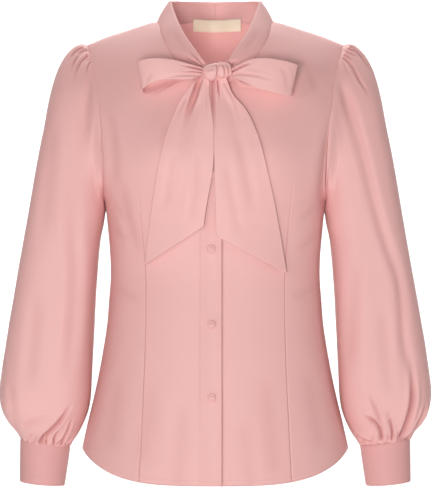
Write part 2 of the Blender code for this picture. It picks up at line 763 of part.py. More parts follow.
def cuff_rows():
    """The cuff at +X. Angles run from the underlap at the back, round the front, to the lap on top."""
    whole = 360.0 + CUFF_LAP_ANGLE
    rows = []
    for ring in CUFF:
        outer = Vector((ring.outer_x, CUFF_MIDDLE_Y, ring.outer_z))
        inner = Vector((ring.inner_x, CUFF_MIDDLE_Y, ring.inner_z))
        middle, along = (outer + inner) / 2, (outer - inner).normalized()
        half = (outer - inner).length / 2
        row = []
        for column in range(CUFF_COLUMNS + 1):
            passed = whole * column / CUFF_COLUMNS
            lift = (BAND_CLOTH + LAP_GAP) * ease((passed - 360.0 + CUFF_LAP_ANGLE) / CUFF_LAP_ANGLE)
            turn = math.radians(CUFF_START_ANGLE + passed)
            across = (half + lift) * math.cos(turn)
            forward = (ring.depth + lift) * math.sin(turn)
            row.append(middle + along * across + Vector((0, -forward, 0)))
        rows.append(row)
    return rows


def make_cuffs():
    rows = cuff_rows()
    cloth("cuff_left", rows, BAND_CLOTH)
    cloth("cuff_right", mirrored(rows), BAND_CLOTH, flip=True)


def band_stations():
    """(lower, top) pairs of the neck band at +X, from the V round to the centre back."""
    front = front_rows(UNDERLAP_X)
    neckline = [row[0] for row in front[-len(FRONT_NECKLINE):]]
    back_top = back_rows()[-1][: len(BACK_NECKLINE)]
    stations = []
    for at, top in enumerate(BAND_TOP_FRONT):
        stations.append((neckline[at], Vector(top)))
        if at == len(BAND_TOP_FRONT) - 2:
            middle = neckline[at].lerp(neckline[at + 1], 0.5)
            upper = Vector(top).lerp(Vector(BAND_TOP_FRONT[-1]), 0.5)
            stations.append((middle, upper + Vector((1.0, -3.5, 0.5))))
    for at in range(len(BAND_TOP_BACK) - 2, -1, -1):
        stations.append((back_top[at], Vector(BAND_TOP_BACK[at])))
    return stations


def band_rows():
    rows = [[], [], [], [], []]
    for lower, top in band_stations():
        up = (top - lower).normalized()
        middle = (lower + top) / 2
        away = Vector((middle.x, middle.y + 10.0, 0.0)).normalized()
        away = (away - up * away.dot(up)).normalized()
        start = lower + up * (SEAM_GAP + 0.1)
        for at, row in enumerate(rows):
            share = at / (len(rows) - 1)
            roll = BAND_ROLL * 4 * share * (1 - share)
            row.append(start.lerp(top, share) + away * roll)
    return rows


def make_neck_band():
    rows = band_rows()
    for row in rows:
        row[-1] = Vector((SEAM_GAP / 2, row[-1].y, row[-1].z))
        row[0] = Vector((max(row[0].x, SEAM_GAP / 2), row[0].y, row[0].z))
    cloth("neck_band_left", rows, BAND_CLOTH, square=X_AXIS)
    cloth("neck_band_right", mirrored(rows), BAND_CLOTH, flip=True, square=X_AXIS)


def ring_of(count, make):
    return [make(2 * math.pi * n / count) for n in range(count)]


def solid_of_rings(name, rings):
    """A closed solid through rings of points, with both ends capped."""
    solid = bmesh.new()
    loops = [[solid.verts.new(point * MM) for point in ring] for ring in rings]
    for low, high in zip(loops, loops[1:]):
        for at in range(len(low)):
            beside = (at + 1) % len(low)
            solid.faces.new([low[at], low[beside], high[beside], high[at]])
    for end in (loops[0], loops[-1]):
        middle = solid.verts.new(sum((v.co for v in end), Vector()) / len(end))
        for at in range(len(end)):
            solid.faces.new([end[at], end[(at + 1) % len(end)], middle])
    bmesh.ops.recalc_face_normals(solid, faces=solid.faces)
    mesh = bpy.data.meshes.new(name)
    solid.to_mesh(mesh)
    solid.free()
    return new_object(name, mesh, BLOUSE_PINK, 0.6)


def make_knot():
    """The knot is a short barrel across the neck, with a pocket at each end for the loops' roots."""
    middle = Vector(KNOT_MIDDLE)
    rings = []
    for ring in KNOT:
        def place(turn, ring=ring):
            y = middle.y - KNOT_HALF_DEPTH * ring.share * math.cos(turn)
            z = middle.z + KNOT_HALF_HEIGHT * ring.share * math.sin(turn)
            return Vector((ring.x, y, z))
        rings.append(ring_of(KNOT_SIDES, place))
    solid_of_rings("bow_knot", rings)


def loop_rows(table):
    rows = []
    for at, row in enumerate(table):
        share = at / (len(table) - 1)
        outward = -math.cos(math.pi * share)
        points = []
        for column in range(LOOP_COLUMNS + 1):
            down = column / LOOP_COLUMNS
            crown = LOOP_CROWN * 4 * down * (1 - down) * math.sin(math.pi * share)
            x = row.x + row.slant * (2 * down - 1)
            points.append(Vector((x, row.y + crown * outward, mix(row.top, row.bottom, down))))
        rows.append(points)
    return rows


def make_loops():
    cloth("bow_loop_right", loop_rows(LOOP_RIGHT), TIE_CLOTH, flip=True)
    cloth("bow_loop_left", loop_rows(LOOP_LEFT), TIE_CLOTH)


def knot_clearance(x):
    """How low the knot's underside reaches at a place across it."""
    shares = [(ring.x, ring.share) for ring in KNOT[2:-2]]
    for (x0, s0), (x1, s1) in zip(shares, shares[1:]):
        if x0 <= x <= x1:
            return KNOT_MIDDLE[2] - KNOT_HALF_HEIGHT * mix(s0, s1, (x - x0) / (x1 - x0))
    return KNOT_MIDDLE[2]


def tail_rows(table):
    rows = []
    for at, row in enumerate(table):
        points = []
        for column in range(TAIL_COLUMNS):
            share = column / (TAIL_COLUMNS - 1)
            x = mix(row.outer_x, row.inner_x, share)
            z = mix(row.outer_z, row.inner_z, share)
            lift = mix(row.outer_lift, row.inner_lift, ease(share))
            valley = math.exp(-(((share - FOLD_AT) / FOLD_WIDTH) ** 2))
            lift -= row.fold * valley
            if at == 0:
                z = min(z, knot_clearance(x) - SEAM_GAP - 0.8)
            points.append(Vector((x, form_y(x, z, "front") - lift, z)))
        rows.append(points)
    return rows


def make_tails():
    cloth("tie_tail_right", tail_rows(TAIL_RIGHT), TIE_CLOTH, flip=True)
    cloth("tie_tail_left", tail_rows(TAIL_LEFT), TIE_CLOTH)


ButtonRing = namedtuple("ButtonRing", "radius height")
BUTTON = [
    ButtonRing(0.72, 0.0),
    ButtonRing(0.97, 0.22),
    ButtonRing(1.0, 0.42),
    ButtonRing(0.86, 0.74),
    ButtonRing(0.52, 0.95),
]


def make_button(name, foot, outward):
    """A cloth-covered button: a low dome on its foot."""
    across = outward.cross(Vector((0, 0, 1))).normalized()
    up = across.cross(outward).normalized()
    rings = []
    for ring in BUTTON:
        def place(turn, ring=ring):
            reach = BUTTON_RADIUS * ring.radius
            side = across * (reach * math.cos(turn)) + up * (reach * math.sin(turn))
            return foot + side + outward * (BUTTON_HEIGHT * ring.height)
        rings.append(ring_of(BUTTON_SIDES, place))
    solid_of_rings(name, rings)


def make_buttons():
    for number in range(BUTTON_COUNT):
        z = BUTTON_TOP_Z - BUTTON_PITCH * number
        x = CENTRE_FRONT_X
        outward = form_normal(x, z, "front")
        foot = on_form(x, z, "front", placket_lift(x) + BUTTON_GAP)
        make_button(f"button_{number + 1}", foot, outward)


def make_cuff_buttons():
    rows = cuff_rows()
    column = CUFF_COLUMNS - 1
    middle_row = (rows[1][column] + rows[2][column]) / 2
    before = (rows[1][column - 1] + rows[2][column - 1]) / 2
    along = (middle_row - before).normalized()
    up = (rows[1][column] - rows[2][column]).normalized()
    outward = up.cross(along).normalized()
    if outward.y < 0:
        outward = -outward
    foot = middle_row + outward * BUTTON_GAP
    make_button("cuff_button_left", foot, outward)
    flip = Vector((-1, 1, 1))
    make_button("cuff_button_right", foot * flip, outward * flip)


def make_label():
    """A blank woven label that hangs inside the back of the neck."""
    band = band_rows()
    low_row = band[0]
    rows = []
    for share in (0.0, 0.5, 1.0):
        z = mix(LABEL_BOTTOM_Z, LABEL_TOP_Z, share)
        row = []
        for column in range(LABEL_COLUMNS + 1):
            x = mix(LABEL_LEFT_X, LABEL_RIGHT_X, column / LABEL_COLUMNS)
            row.append(Vector((x, label_y(x, low_row) + 3.0 * (1 - share) ** 2, z)))
        rows.append(row)
    cloth("neck_label", rows, LABEL_CLOTH, colour=LABEL_CREAM)


def label_y(x, low_row):
    """Just inside the band's inner face, at a place across the back of the neck."""
    edge = sorted((p.x, p.y) for p in low_row if p.y > 0)
    across = abs(x)
    for (x0, y0), (x1, y1) in zip(edge, edge[1:]):
        if x0 <= across <= x1:
            return mix(y0, y1, (across - x0) / (x1 - x0)) - BAND_CLOTH - LAP_GAP - 1.6
    return edge[0][1] - BAND_CLOTH - LAP_GAP - 1.6


def main():
    for old in list(bpy.data.objects):
        bpy.data.objects.remove(old)
    make_fronts()
    make_placket()
    make_back()
    make_sleeves()
    make_cuffs()
    make_neck_band()
    make_knot()
    make_loops()
    make_tails()
    make_buttons()
    make_cuff_buttons()
    make_label()


main()
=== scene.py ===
import math
import random

import bmesh
import bpy
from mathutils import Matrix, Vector, noise


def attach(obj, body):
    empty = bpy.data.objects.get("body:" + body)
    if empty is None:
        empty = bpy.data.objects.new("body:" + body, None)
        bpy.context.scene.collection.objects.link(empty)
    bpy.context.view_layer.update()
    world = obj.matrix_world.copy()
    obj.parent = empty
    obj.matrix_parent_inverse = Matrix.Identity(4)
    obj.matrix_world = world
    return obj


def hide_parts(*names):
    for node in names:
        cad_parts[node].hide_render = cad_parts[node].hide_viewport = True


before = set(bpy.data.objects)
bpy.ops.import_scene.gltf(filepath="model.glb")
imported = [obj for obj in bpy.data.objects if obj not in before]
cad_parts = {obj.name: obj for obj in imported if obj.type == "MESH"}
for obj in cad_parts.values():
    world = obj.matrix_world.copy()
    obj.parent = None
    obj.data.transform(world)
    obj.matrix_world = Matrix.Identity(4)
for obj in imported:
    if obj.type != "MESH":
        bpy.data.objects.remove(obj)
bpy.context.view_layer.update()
mm = 0.001

print("blouse: frame loaded")

# Small maths

def mix(start, end, share):
    return start + (end - start) * share


def ease(share):
    share = min(max(share, 0), 1)
    return share * share * (3 - 2 * share)


def hump(distance, width):
    return math.exp(-((distance / width) ** 2))


def curveBetween(start, end, leaving, arriving, share):
    # Smooth value between start and end, with a slope at each
    square = share * share
    cube = square * share
    return (
        (2 * cube - 3 * square + 1) * start
        + (cube - 2 * square + share) * leaving
        + (3 * square - 2 * cube) * end
        + (cube - square) * arriving
    )


def rowAt(table, position):
    # A row of numbers at a place between the table's rows, on a smooth curve
    last = len(table) - 1
    position = min(max(position, 0), last)
    low = min(int(position), last - 1)
    share = position - low
    rows = [table[min(max(low + step, 0), last)] for step in (-1, 0, 1, 2)]
    return [
        curveBetween(start, end, (end - before) / 2, (after - start) / 2, share)
        for before, start, end, after in zip(*rows)
    ]


def readAt(table, height, column):
    # One column of a table whose first column is a height, smooth through its rows
    if height <= table[0][0]:
        return table[0][column]
    if height >= table[-1][0]:
        return table[-1][column]
    at = 0
    while table[at + 1][0] < height:
        at += 1
    low, high = table[at], table[at + 1]
    before, after = table[max(at - 1, 0)], table[min(at + 2, len(table) - 1)]
    span = high[0] - low[0]
    share = (height - low[0]) / span
    straight = (high[column] - low[column]) / span
    leaving = arriving = straight
    if before is not low:
        leaving = (high[column] - before[column]) / (high[0] - before[0])
    if after is not high:
        arriving = (after[column] - low[column]) / (after[0] - low[0])
    return curveBetween(low[column], high[column], leaving * span, arriving * span, share)


# Body form, the same named sizes as the solids

form = {
    "sectionPower": 2.3,
    "shoulderPower": 1.7,
    "shoulderDrop": 105,
    "shoulderSlope": 0.358,
    "neckPointX": 80,
    "neckPointZ": 4,
    "neckRise": 25,
    "bustX": 80,
    "bustZ": -188,
    "bustFullness": 9,
    "bustSpreadX": 42,
    "bustSpreadZ": 48,
    "underarmZ": -247,
    "hemFrontZ": -624,
    "hemBackZ": -621,
    "hemSideZ": -582,
    "hemPower": 3.3,
}

# height, half width, front depth, back depth
bodyRows = [
    (-632, 193.5, 128, 131),
    (-582, 183, 124, 128),
    (-546, 175, 120.5, 123),
    (-513, 167, 117, 118),
    (-480, 160, 113.5, 112.5),
    (-447, 154, 110, 106),
    (-414, 149, 106, 99),
    (-381, 146.3, 102.5, 92.5),
    (-348, 144, 100, 88.5),
    (-315, 145, 101, 88.5),
    (-281.5, 147.9, 105, 93),
    (-264, 149.6, 108.4, 96.2),
    (-247, 152.3, 111, 99),
    (-240, 154.5, 112, 100.1),
    (-230, 158.2, 113, 101.7),
    (-215, 164.4, 114.1, 104),
    (-200, 170.3, 114.5, 106),
    (-185, 175.2, 114, 107.7),
    (-170, 179, 112.5, 109),
    (-140, 185, 107, 109.5),
    (-100, 190, 95, 107.5),
    (-60, 193, 86.5, 101),
    (-31, 195, 81, 96),
    (10, 195, 77, 90),
]

# height, x
frontArmhole = [
    (-247, 152.3), (-240, 151.9), (-230, 151.8), (-203, 152.3), (-176, 153.5),
    (-148, 155.4), (-121, 158.2), (-93, 162), (-63, 167), (-48.5, 171.5), (-31, 177.7),
]
backArmhole = [
    (-247, 152.3), (-215, 154.5), (-180, 159), (-140, 164), (-100, 169),
    (-60, 174), (-31, 177.7),
]
frontNeckline = [
    (-100, 0), (-86, 22), (-70, 40), (-51.6, 55.2), (-33.3, 66.8), (-14.3, 74.7), (4, 80),
]
dartLine = [
    (-632, 101.5), (-480, 95), (-378, 93), (-322, 95), (-215, 105),
    (-150, 113), (-100, 120), (0, 130),
]

# height at the inner edge, height at the armhole
upperRows = [
    (-247, -247), (-236, -243.5), (-218, -234), (-195, -215), (-168, -189),
    (-142, -163), (-120, -140), (-100, -119), (-86, -101), (-70, -84),
    (-51.6, -69), (-33.3, -55.5), (-14.3, -43), (4, -31),
]
backMiddle = [
    -247, -236, -219, -197, -170, -142, -116, -92, -70, -50, -32, -16, -2, 9,
]
# x, height
backNeckline = [(0, 9), (15, 8), (30, 6), (45, 3.5), (60, 1.5), (72, 1.5), (80, 4)]


def shoulderHeight(x):
    # The ridge is rounded over at the centre back
    across = abs(x) if abs(x) > 12 else x * x / 24 + 6
    rise = max(0, (form["neckPointX"] - across) / form["neckPointX"]) ** 1.5
    slope = form["shoulderSlope"] * (across - form["neckPointX"])
    return form["neckPointZ"] - slope + form["neckRise"] * rise


def shoulderRounding(x, z):
    below = min(max(shoulderHeight(x) - z, 0) / form["shoulderDrop"], 1)
    power = form["shoulderPower"]
    return (1 - (1 - below) ** power) ** (1 / power)


def formY(x, z, facing):
    power = form["sectionPower"]
    across = min(abs(x) / readAt(bodyRows, z, 1), 1)
    section = (1 - across**power) ** (1 / power)
    if facing == "back":
        return shoulderRounding(x, z) * readAt(bodyRows, z, 3) * section
    bustAcross = (abs(x) - form["bustX"]) / form["bustSpreadX"]
    bustUp = (z - form["bustZ"]) / form["bustSpreadZ"]
    bust = form["bustFullness"] * math.exp(-bustAcross * bustAcross - bustUp * bustUp)
    return -(shoulderRounding(x, z) * readAt(bodyRows, z, 2) + bust) * section


def formNormal(x, z, facing):
    slopeX = (formY(x + 1, z, facing) - formY(x - 1, z, facing)) / 2
    slopeZ = (formY(x, z + 1, facing) - formY(x, z - 1, facing)) / 2
    outward = -1 if facing == "front" else 1
    return Vector((-slopeX * outward, outward, -slopeZ * outward)).normalized()


def ridgeLift(x, z):
    # The shoulder line lies a little higher outside the neck
    return 1.8 * ease(1 - (shoulderHeight(x) - z) / 26) * ease((abs(x) - 80) / 14)


def onForm(x, z, facing, lift=0):
    point = Vector((x, formY(x, z, facing), z + ridgeLift(x, z)))
    if lift:
        point += formNormal(x, z, facing) * lift
    return point


def angleAt(x, z):
    across = min(abs(x) / readAt(bodyRows, z, 1), 1)
    return math.copysign(math.asin(across ** (form["sectionPower"] / 2)), x)


def xAt(angle, z):
    across = abs(math.sin(angle)) ** (2 / form["sectionPower"])
    return math.copysign(readAt(bodyRows, z, 1) * across, angle)


def hemHeight(angle, facing):
    middle = form["hemFrontZ"] if facing == "front" else form["hemBackZ"]
    return mix(middle, form["hemSideZ"], abs(math.sin(angle)) ** form["hemPower"])


# Photograph places: columns and rows of its frame, turned into the plane of the front

picture = {
    "column": 215.2,
    "row": 244,
    "z": -303.6,
    "pitch": 1.38,
    "distance": 3000,
}


def pictureX(column, depth):
    away = picture["distance"]
    return (column - picture["column"]) * picture["pitch"] * (away + depth) / away


def pictureZ(row, depth):
    away = picture["distance"]
    return picture["z"] + (picture["row"] - row) * picture["pitch"] * (away + depth) / away


# Folds: soft troughs with a ridge on each side, each laid along its own line, each with painted shade in its
# trough

foldReach = 3.2
ridgeAway = 1.9
ridgeWidth = 0.9


def foldAlong(line, width, **look):
    # A fold on a line of x and z places, with the bounds of what it reaches
    reach = foldReach * width
    low = [min(p[n] for p in line) - reach for n in (0, 1)]
    high = [max(p[n] for p in line) + reach for n in (0, 1)]
    return dict(look, line=line, width=width, low=low, high=high)


def makeFold(at, depth, width, points, start=0.3, end=0.3, ridge=0.35, facing=-1, sharp=2, tint=None):
    # points are picture places at the depth given by at, or x and z places if at is None
    # start and end are the shares of its length over which the fold fades in and out
    if at is not None:
        points = [(pictureX(column, at), pictureZ(row, at)) for column, row in points]
    steps = 6 * (len(points) - 1)
    line = [rowAt(points, (len(points) - 1) * n / steps) for n in range(steps + 1)]
    # tint is how much shade is painted into the colour along the fold; sharp creases get dark painted shade
    if tint is None:
        tint = 0.85 if sharp < 1.9 else 0.14
    return foldAlong(line, width, depth=depth, tint=tint, ridge=ridge, facing=facing, start=start,
                     end=end, sharp=sharp)


def creaseShade(at, depth, width, points, start=0.3, end=0.3, tint=None):
    # A sharp crease, with painted shade along it
    return makeFold(at, depth, width, points, start, end, sharp=1.4, tint=tint)


def backFold(depth, width, points, start=0.3, end=0.3, ridge=0.35):
    return makeFold(None, depth, width, points, start, end, ridge, facing=1)


def foldOffset(fold, x, z):
    # Offset along the normal, and the painted shade at the place, darkest in the middle of the crease
    low, high = fold["low"], fold["high"]
    if x < low[0] or x > high[0] or z < low[1] or z > high[1]:
        return 0, 0
    best, bestAlong = 1e9, 0
    line = fold["line"]
    steps = len(line) - 1
    for n in range(steps):
        ax, az = line[n]
        bx, bz = line[n + 1]
        dx, dz = bx - ax, bz - az
        along = ((x - ax) * dx + (z - az) * dz) / (dx * dx + dz * dz + 1e-9)
        along = min(max(along, 0), 1)
        away = math.hypot(x - ax - dx * along, z - az - dz * along)
        if away < best:
            best, bestAlong = away, (n + along) / steps
    width = fold["width"]
    ridge = fold["ridge"] * hump(best - ridgeAway * width, ridgeWidth * width)
    profile = ridge - math.exp(-((best / width) ** fold["sharp"]))
    fade = 1
    if fold["start"]:
        fade *= ease(bestAlong / fold["start"])
    if fold["end"]:
        fade *= ease((1 - bestAlong) / fold["end"])
    return fold["depth"] * profile * fade, fold["tint"] * hump(best, 0.8 * width) * fade


def pressFolds(bm, folds, ripple=0, edge=None, shade=None):
    # Moves each point along its normal by the folds and by an uneven soft ripple, and stores painted shade
    # from creases, seams and edges in a point attribute
    creaseShade = bm.verts.layers.float.new("creaseShade")
    bm.normal_update()
    moves = {}
    for vert in bm.verts:
        x, y, z = vert.co / mm
        facing = vert.normal.y
        offset = 0
        # depth here is the painted shade of the point, from the shade function and from the folds
        depth = shade(vert) if shade else 0
        for fold in folds:
            side = ease(facing * fold["facing"] * 2.5)
            if side > 0:
                move, tint = foldOffset(fold, x, z)
                offset += move * side
                depth = max(depth, tint * side)
        vert[creaseShade] = depth
        if ripple:
            place = Vector((x / 60, y / 60, z / 130))
            fine = Vector((x / 24, y / 24, z / 46 + 7))
            offset += ripple * noise.noise(place) + 0.3 * ripple * noise.noise(fine)
        if edge is not None:
            offset *= edge(vert)
        moves[vert] = vert.normal * (offset * mm)
    for vert, move in moves.items():
        vert.co += move


# Cloth shells

def clothGrid(columns, rows, place, width, height, closed=False, flip=False):
    # place takes the shares across and up, and gives a point in millimetres
    bm = bmesh.new()
    bmesh.ops.create_grid(bm, x_segments=columns, y_segments=rows, size=0.5)
    uv = bm.loops.layers.uv.new("cloth")
    shares = {vert: (vert.co.x + 0.5, vert.co.y + 0.5) for vert in bm.verts}
    for face in bm.faces:
        for loop in face.loops:
            across, up = shares[loop.vert]
            loop[uv].uv = (across * width * mm, up * height * mm)
    for vert, (across, up) in shares.items():
        vert.co = place(across, up) * mm
    if closed:
        bmesh.ops.remove_doubles(bm, verts=bm.verts, dist=0.00002)
    if flip:
        bmesh.ops.reverse_faces(bm, faces=bm.faces)
    return bm


def mirrorAcross(bm):
    for vert in bm.verts:
        vert.co.x = -vert.co.x
    bmesh.ops.reverse_faces(bm, faces=bm.faces)


def makeObject(bm, name, material):
    mesh = bpy.data.meshes.new(name)
    bm.to_mesh(mesh)
    bm.free()
    mesh.shade_smooth()
    mesh.materials.append(material)
    made = bpy.data.objects.new(name, mesh)
    bpy.context.scene.collection.objects.link(made)
    return made


def finishCloth(bm, name, material, thickness,
                nodes=None):
    piece = makeObject(bm, name, material)
    if thickness:
        wall = piece.modifiers.new("wall", "SOLIDIFY")
        wall.thickness = thickness * mm
        wall.offset = -1
        wall.use_rim = True
    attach(piece, "root")
    if nodes:
        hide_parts(*nodes)
    return piece


# Finishes

def newGroup(name, inputs, outputs):
    group = bpy.data.node_groups.new(name, "ShaderNodeTree")
    for kind, label, value in inputs:
        socket = group.interface.new_socket(name=label, in_out="INPUT", socket_type=kind)
        socket.default_value = value
    for kind, label in outputs:
        group.interface.new_socket(name=label, in_out="OUTPUT", socket_type=kind)
    return group, group.nodes.new("NodeGroupInput"), group.nodes.new("NodeGroupOutput")


def feed(tree, socket, value):
    # value is the output of another node, or a plain value
    if isinstance(value, bpy.types.NodeSocket):
        tree.links.new(value, socket)
    else:
        socket.default_value = value


def mathNode(tree, operation, first, second=None, clamp=False):
    node = tree.nodes.new("ShaderNodeMath")
    node.operation = operation
    node.use_clamp = clamp
    feed(tree, node.inputs[0], first)
    if second is not None:
        feed(tree, node.inputs[1], second)
    return node.outputs[0]


def mixNode(tree, share, first, second):
    # A mix of two colours
    node = tree.nodes.new("ShaderNodeMix")
    node.data_type = "RGBA"
    feed(tree, node.inputs["Factor"], share)
    feed(tree, node.inputs[6], first)
    feed(tree, node.inputs[7], second)
    return node.outputs[2]


def noiseNode(tree, place, scale, detail):
    node = tree.nodes.new("ShaderNodeTexNoise")
    for label, value in (("Scale", scale), ("Detail", detail), ("Vector", place)):
        feed(tree, node.inputs[label], value)
    return node.outputs["Fac"]


def rangeNode(tree, value, *ends):
    # ends are the low and high value taken, and what is given at each
    node = tree.nodes.new("ShaderNodeMapRange")
    for label, end in zip(("From Min", "From Max", "To Min", "To Max"), ends):
        node.inputs[label].default_value = end
    tree.links.new(value, node.inputs["Value"])
    return node.outputs[0]


def makeCrepeGroup():
    # Fine pebbled crepe: uneven colour, and a grain with threads both ways
    group, start, end = newGroup(
        "crepeCloth",
        [
            ("NodeSocketVector", "Place", (0, 0, 0)),
            ("NodeSocketColor", "Light", (0.8, 0.5, 0.5, 1)),
            ("NodeSocketColor", "Deep", (0.7, 0.4, 0.4, 1)),
            ("NodeSocketFloat", "Grain", 1),
        ],
        [("NodeSocketColor", "Color"), ("NodeSocketFloat", "Height")],
    )
    place = start.outputs["Place"]
    cloudy = noiseNode(group, place, 14, 3)
    pebble = noiseNode(group, place, 1300, 2)
    threads = []
    for stretch in ((2600, 2600, 260), (320, 320, 2400)):
        mapping = group.nodes.new("ShaderNodeMapping")
        mapping.inputs["Scale"].default_value = stretch
        feed(group, mapping.inputs["Vector"], place)
        threads.append(noiseNode(group, mapping.outputs["Vector"], 1, 1))
    woven = mathNode(group, "ADD", threads[0], threads[1])
    grain = mathNode(group, "ADD", mathNode(group, "MULTIPLY", woven, 0.4), pebble)
    feed(group, end.inputs["Height"], mathNode(group, "MULTIPLY", grain, start.outputs["Grain"]))
    patch = mathNode(group, "MULTIPLY", mathNode(group, "SUBTRACT", cloudy, 0.35), 1.6, True)
    speck = mathNode(group, "MULTIPLY", mathNode(group, "SUBTRACT", grain, 0.6), 0.5)
    share = mathNode(group, "ADD", mathNode(group, "MULTIPLY", patch, 0.5), speck, True)
    colour = mixNode(group, share, start.outputs["Light"], start.outputs["Deep"])
    feed(group, end.inputs["Color"], colour)
    return group


def makeStitchGroup():
    # A row of stitches at a distance from an edge
    group, start, end = newGroup(
        "stitchRow",
        [
            ("NodeSocketFloat", "Across", 0),
            ("NodeSocketFloat", "Along", 0),
            ("NodeSocketFloat", "Line", 0.004),
            ("NodeSocketFloat", "Pitch", 0.0028),
        ],
        [("NodeSocketFloat", "Thread"), ("NodeSocketFloat", "Pucker")],
    )
    offset = mathNode(group, "SUBTRACT", start.outputs["Across"], start.outputs["Line"])
    away = mathNode(group, "ABSOLUTE", offset)
    step = mathNode(group, "FRACT", mathNode(group, "DIVIDE", start.outputs["Along"], start.outputs["Pitch"]))
    middle = mathNode(group, "ABSOLUTE", mathNode(group, "SUBTRACT", step, 0.5))
    band = rangeNode(group, away, 0.00025, 0.0006, 1, 0)
    dash = rangeNode(group, middle, 0.32, 0.42, 1, 0)
    feed(group, end.inputs["Thread"], mathNode(group, "MULTIPLY", band, dash))
    feed(group, end.inputs["Pucker"], rangeNode(group, away, 0.0004, 0.0022, 1, 0))
    return group


crepeCloth = makeCrepeGroup()
stitchRow = makeStitchGroup()

cloth = {
    "light": (0.815, 0.455, 0.432, 1),
    "deep": (0.775, 0.414, 0.394, 1),
    "thread": (0.60, 0.25, 0.24, 1),
    # colour of the painted shade in creases
    "creaseShade": (0.46, 0.155, 0.15, 1),
    "roughness": 0.58,
    "sheen": 0.05,
    "grainDepth": 0.00012,
}


def makeClothMaterial(name, stitches=(), light=cloth["light"], deep=cloth["deep"], grain=1):
    # stitches are (axis, place): u or v of the piece's own map, in metres
    material = bpy.data.materials.new(name)
    material.use_nodes = True
    tree = material.node_tree
    shader = tree.nodes["Principled BSDF"]
    places = tree.nodes.new("ShaderNodeTexCoord")
    crepe = tree.nodes.new("ShaderNodeGroup")
    crepe.node_tree = crepeCloth
    place = places.outputs["Object"]
    for label, value in (("Light", light), ("Deep", deep), ("Grain", grain), ("Place", place)):
        feed(tree, crepe.inputs[label], value)
    # Painted shade: the colour is mixed toward a deep red where the point attribute of painted crease shade
    # is set
    creaseShadeReader = tree.nodes.new("ShaderNodeAttribute")
    creaseShadeReader.attribute_name = "creaseShade"
    creaseShadeShare = mathNode(tree, "MULTIPLY", creaseShadeReader.outputs["Fac"], 0.8, True)
    colour = mixNode(tree, creaseShadeShare, crepe.outputs["Color"], cloth["creaseShade"])
    height = crepe.outputs["Height"]
    if stitches:
        uvMap = tree.nodes.new("ShaderNodeUVMap")
        uvMap.uv_map = "cloth"
        split = tree.nodes.new("ShaderNodeSeparateXYZ")
        feed(tree, split.inputs["Vector"], uvMap.outputs["UV"])
        thread = pucker = 0
        for axis, place in stitches:
            row = tree.nodes.new("ShaderNodeGroup")
            row.node_tree = stitchRow
            across, along = ("X", "Y") if axis == "u" else ("Y", "X")
            feed(tree, row.inputs["Across"], split.outputs[across])
            feed(tree, row.inputs["Along"], split.outputs[along])
            row.inputs["Line"].default_value = place
            thread = mathNode(tree, "MAXIMUM", thread, row.outputs["Thread"])
            pucker = mathNode(tree, "MAXIMUM", pucker, row.outputs["Pucker"])
        colour = mixNode(tree, mathNode(tree, "MULTIPLY", thread, 0.22), colour, cloth["thread"])
        pressed = mathNode(tree, "MULTIPLY", pucker, -1)
        raised = mathNode(tree, "MULTIPLY", thread, 0.8)
        height = mathNode(tree, "ADD", height, mathNode(tree, "ADD", pressed, raised))
    bump = tree.nodes.new("ShaderNodeBump")
    bump.inputs["Strength"].default_value = 0.5
    bump.inputs["Distance"].default_value = cloth["grainDepth"]
    feed(tree, bump.inputs["Height"], height)
    for label, value in (
        ("Roughness", cloth["roughness"]), ("Sheen Weight", cloth["sheen"]), ("Sheen Roughness", 0.4),
        ("Specular IOR Level", 0.35), ("Base Color", colour), ("Normal", bump.outputs["Normal"]),
    ):
        feed(tree, shader.inputs[label], value)
    return material


plainCrepe = makeClothMaterial("pinkCrepe")
panelCrepe = makeClothMaterial("pinkCrepePanel", [("v", 0.006)])
placketCrepe = makeClothMaterial("pinkCrepePlacket", [("v", 0.006)])
# The cuffs are the same crepe with its colour painted darker, as painted shade
shadedCuffCrepe = makeClothMaterial(
    "pinkCrepeCuffShaded", [("v", 0.0035), ("v", 0.0515)],
    light=(0.745, 0.380, 0.362, 1), deep=(0.705, 0.345, 0.330, 1),
)
bandCrepe = makeClothMaterial("pinkCrepeBand", [("v", 0.003), ("u", 0.2296)])
tieCrepe = makeClothMaterial(
    "pinkCrepeTie", light=(0.822, 0.462, 0.438, 1), deep=(0.783, 0.422, 0.400, 1),
)

print("blouse: finishes made")

# Front and back panels

panel = {
    "columns": (46, 12, 38),
    "lowerRows": 70,
    "upperRows": 78,
    "wall": 1,
    "dartHalf": 4,
    "dartDepth": 0.9,
    "dartWidth": 0.7,
    "dartTop": -206,
    "dartFade": 46,
    "seamDip": 0.7,
    "seamWidth": 2.6,
    "ripple": 0.55,
    "neckTuck": 1.5,
    "underPlacket": 1.35,
    "placketSeam": 20.4,
    "underlap": 12,
    "sideGap": 0.15,
    "across": 150,
    "tall": 620,
    "neckDip": 1.1,
    "neckDipWidth": 2.4,
    "backDartShift": -8,
}
dartColumns = sum(panel["columns"])
dartFirst = panel["columns"][0] / dartColumns
dartLast = (panel["columns"][0] + panel["columns"][1]) / dartColumns
panelRows = panel["lowerRows"] + panel["upperRows"]
lowerShare = panel["lowerRows"] / panelRows


def neckX(z):
    return readAt(frontNeckline, z, 1)


def neckZ(x):
    return readAt([(x, z) for z, x in frontNeckline], x, 1)


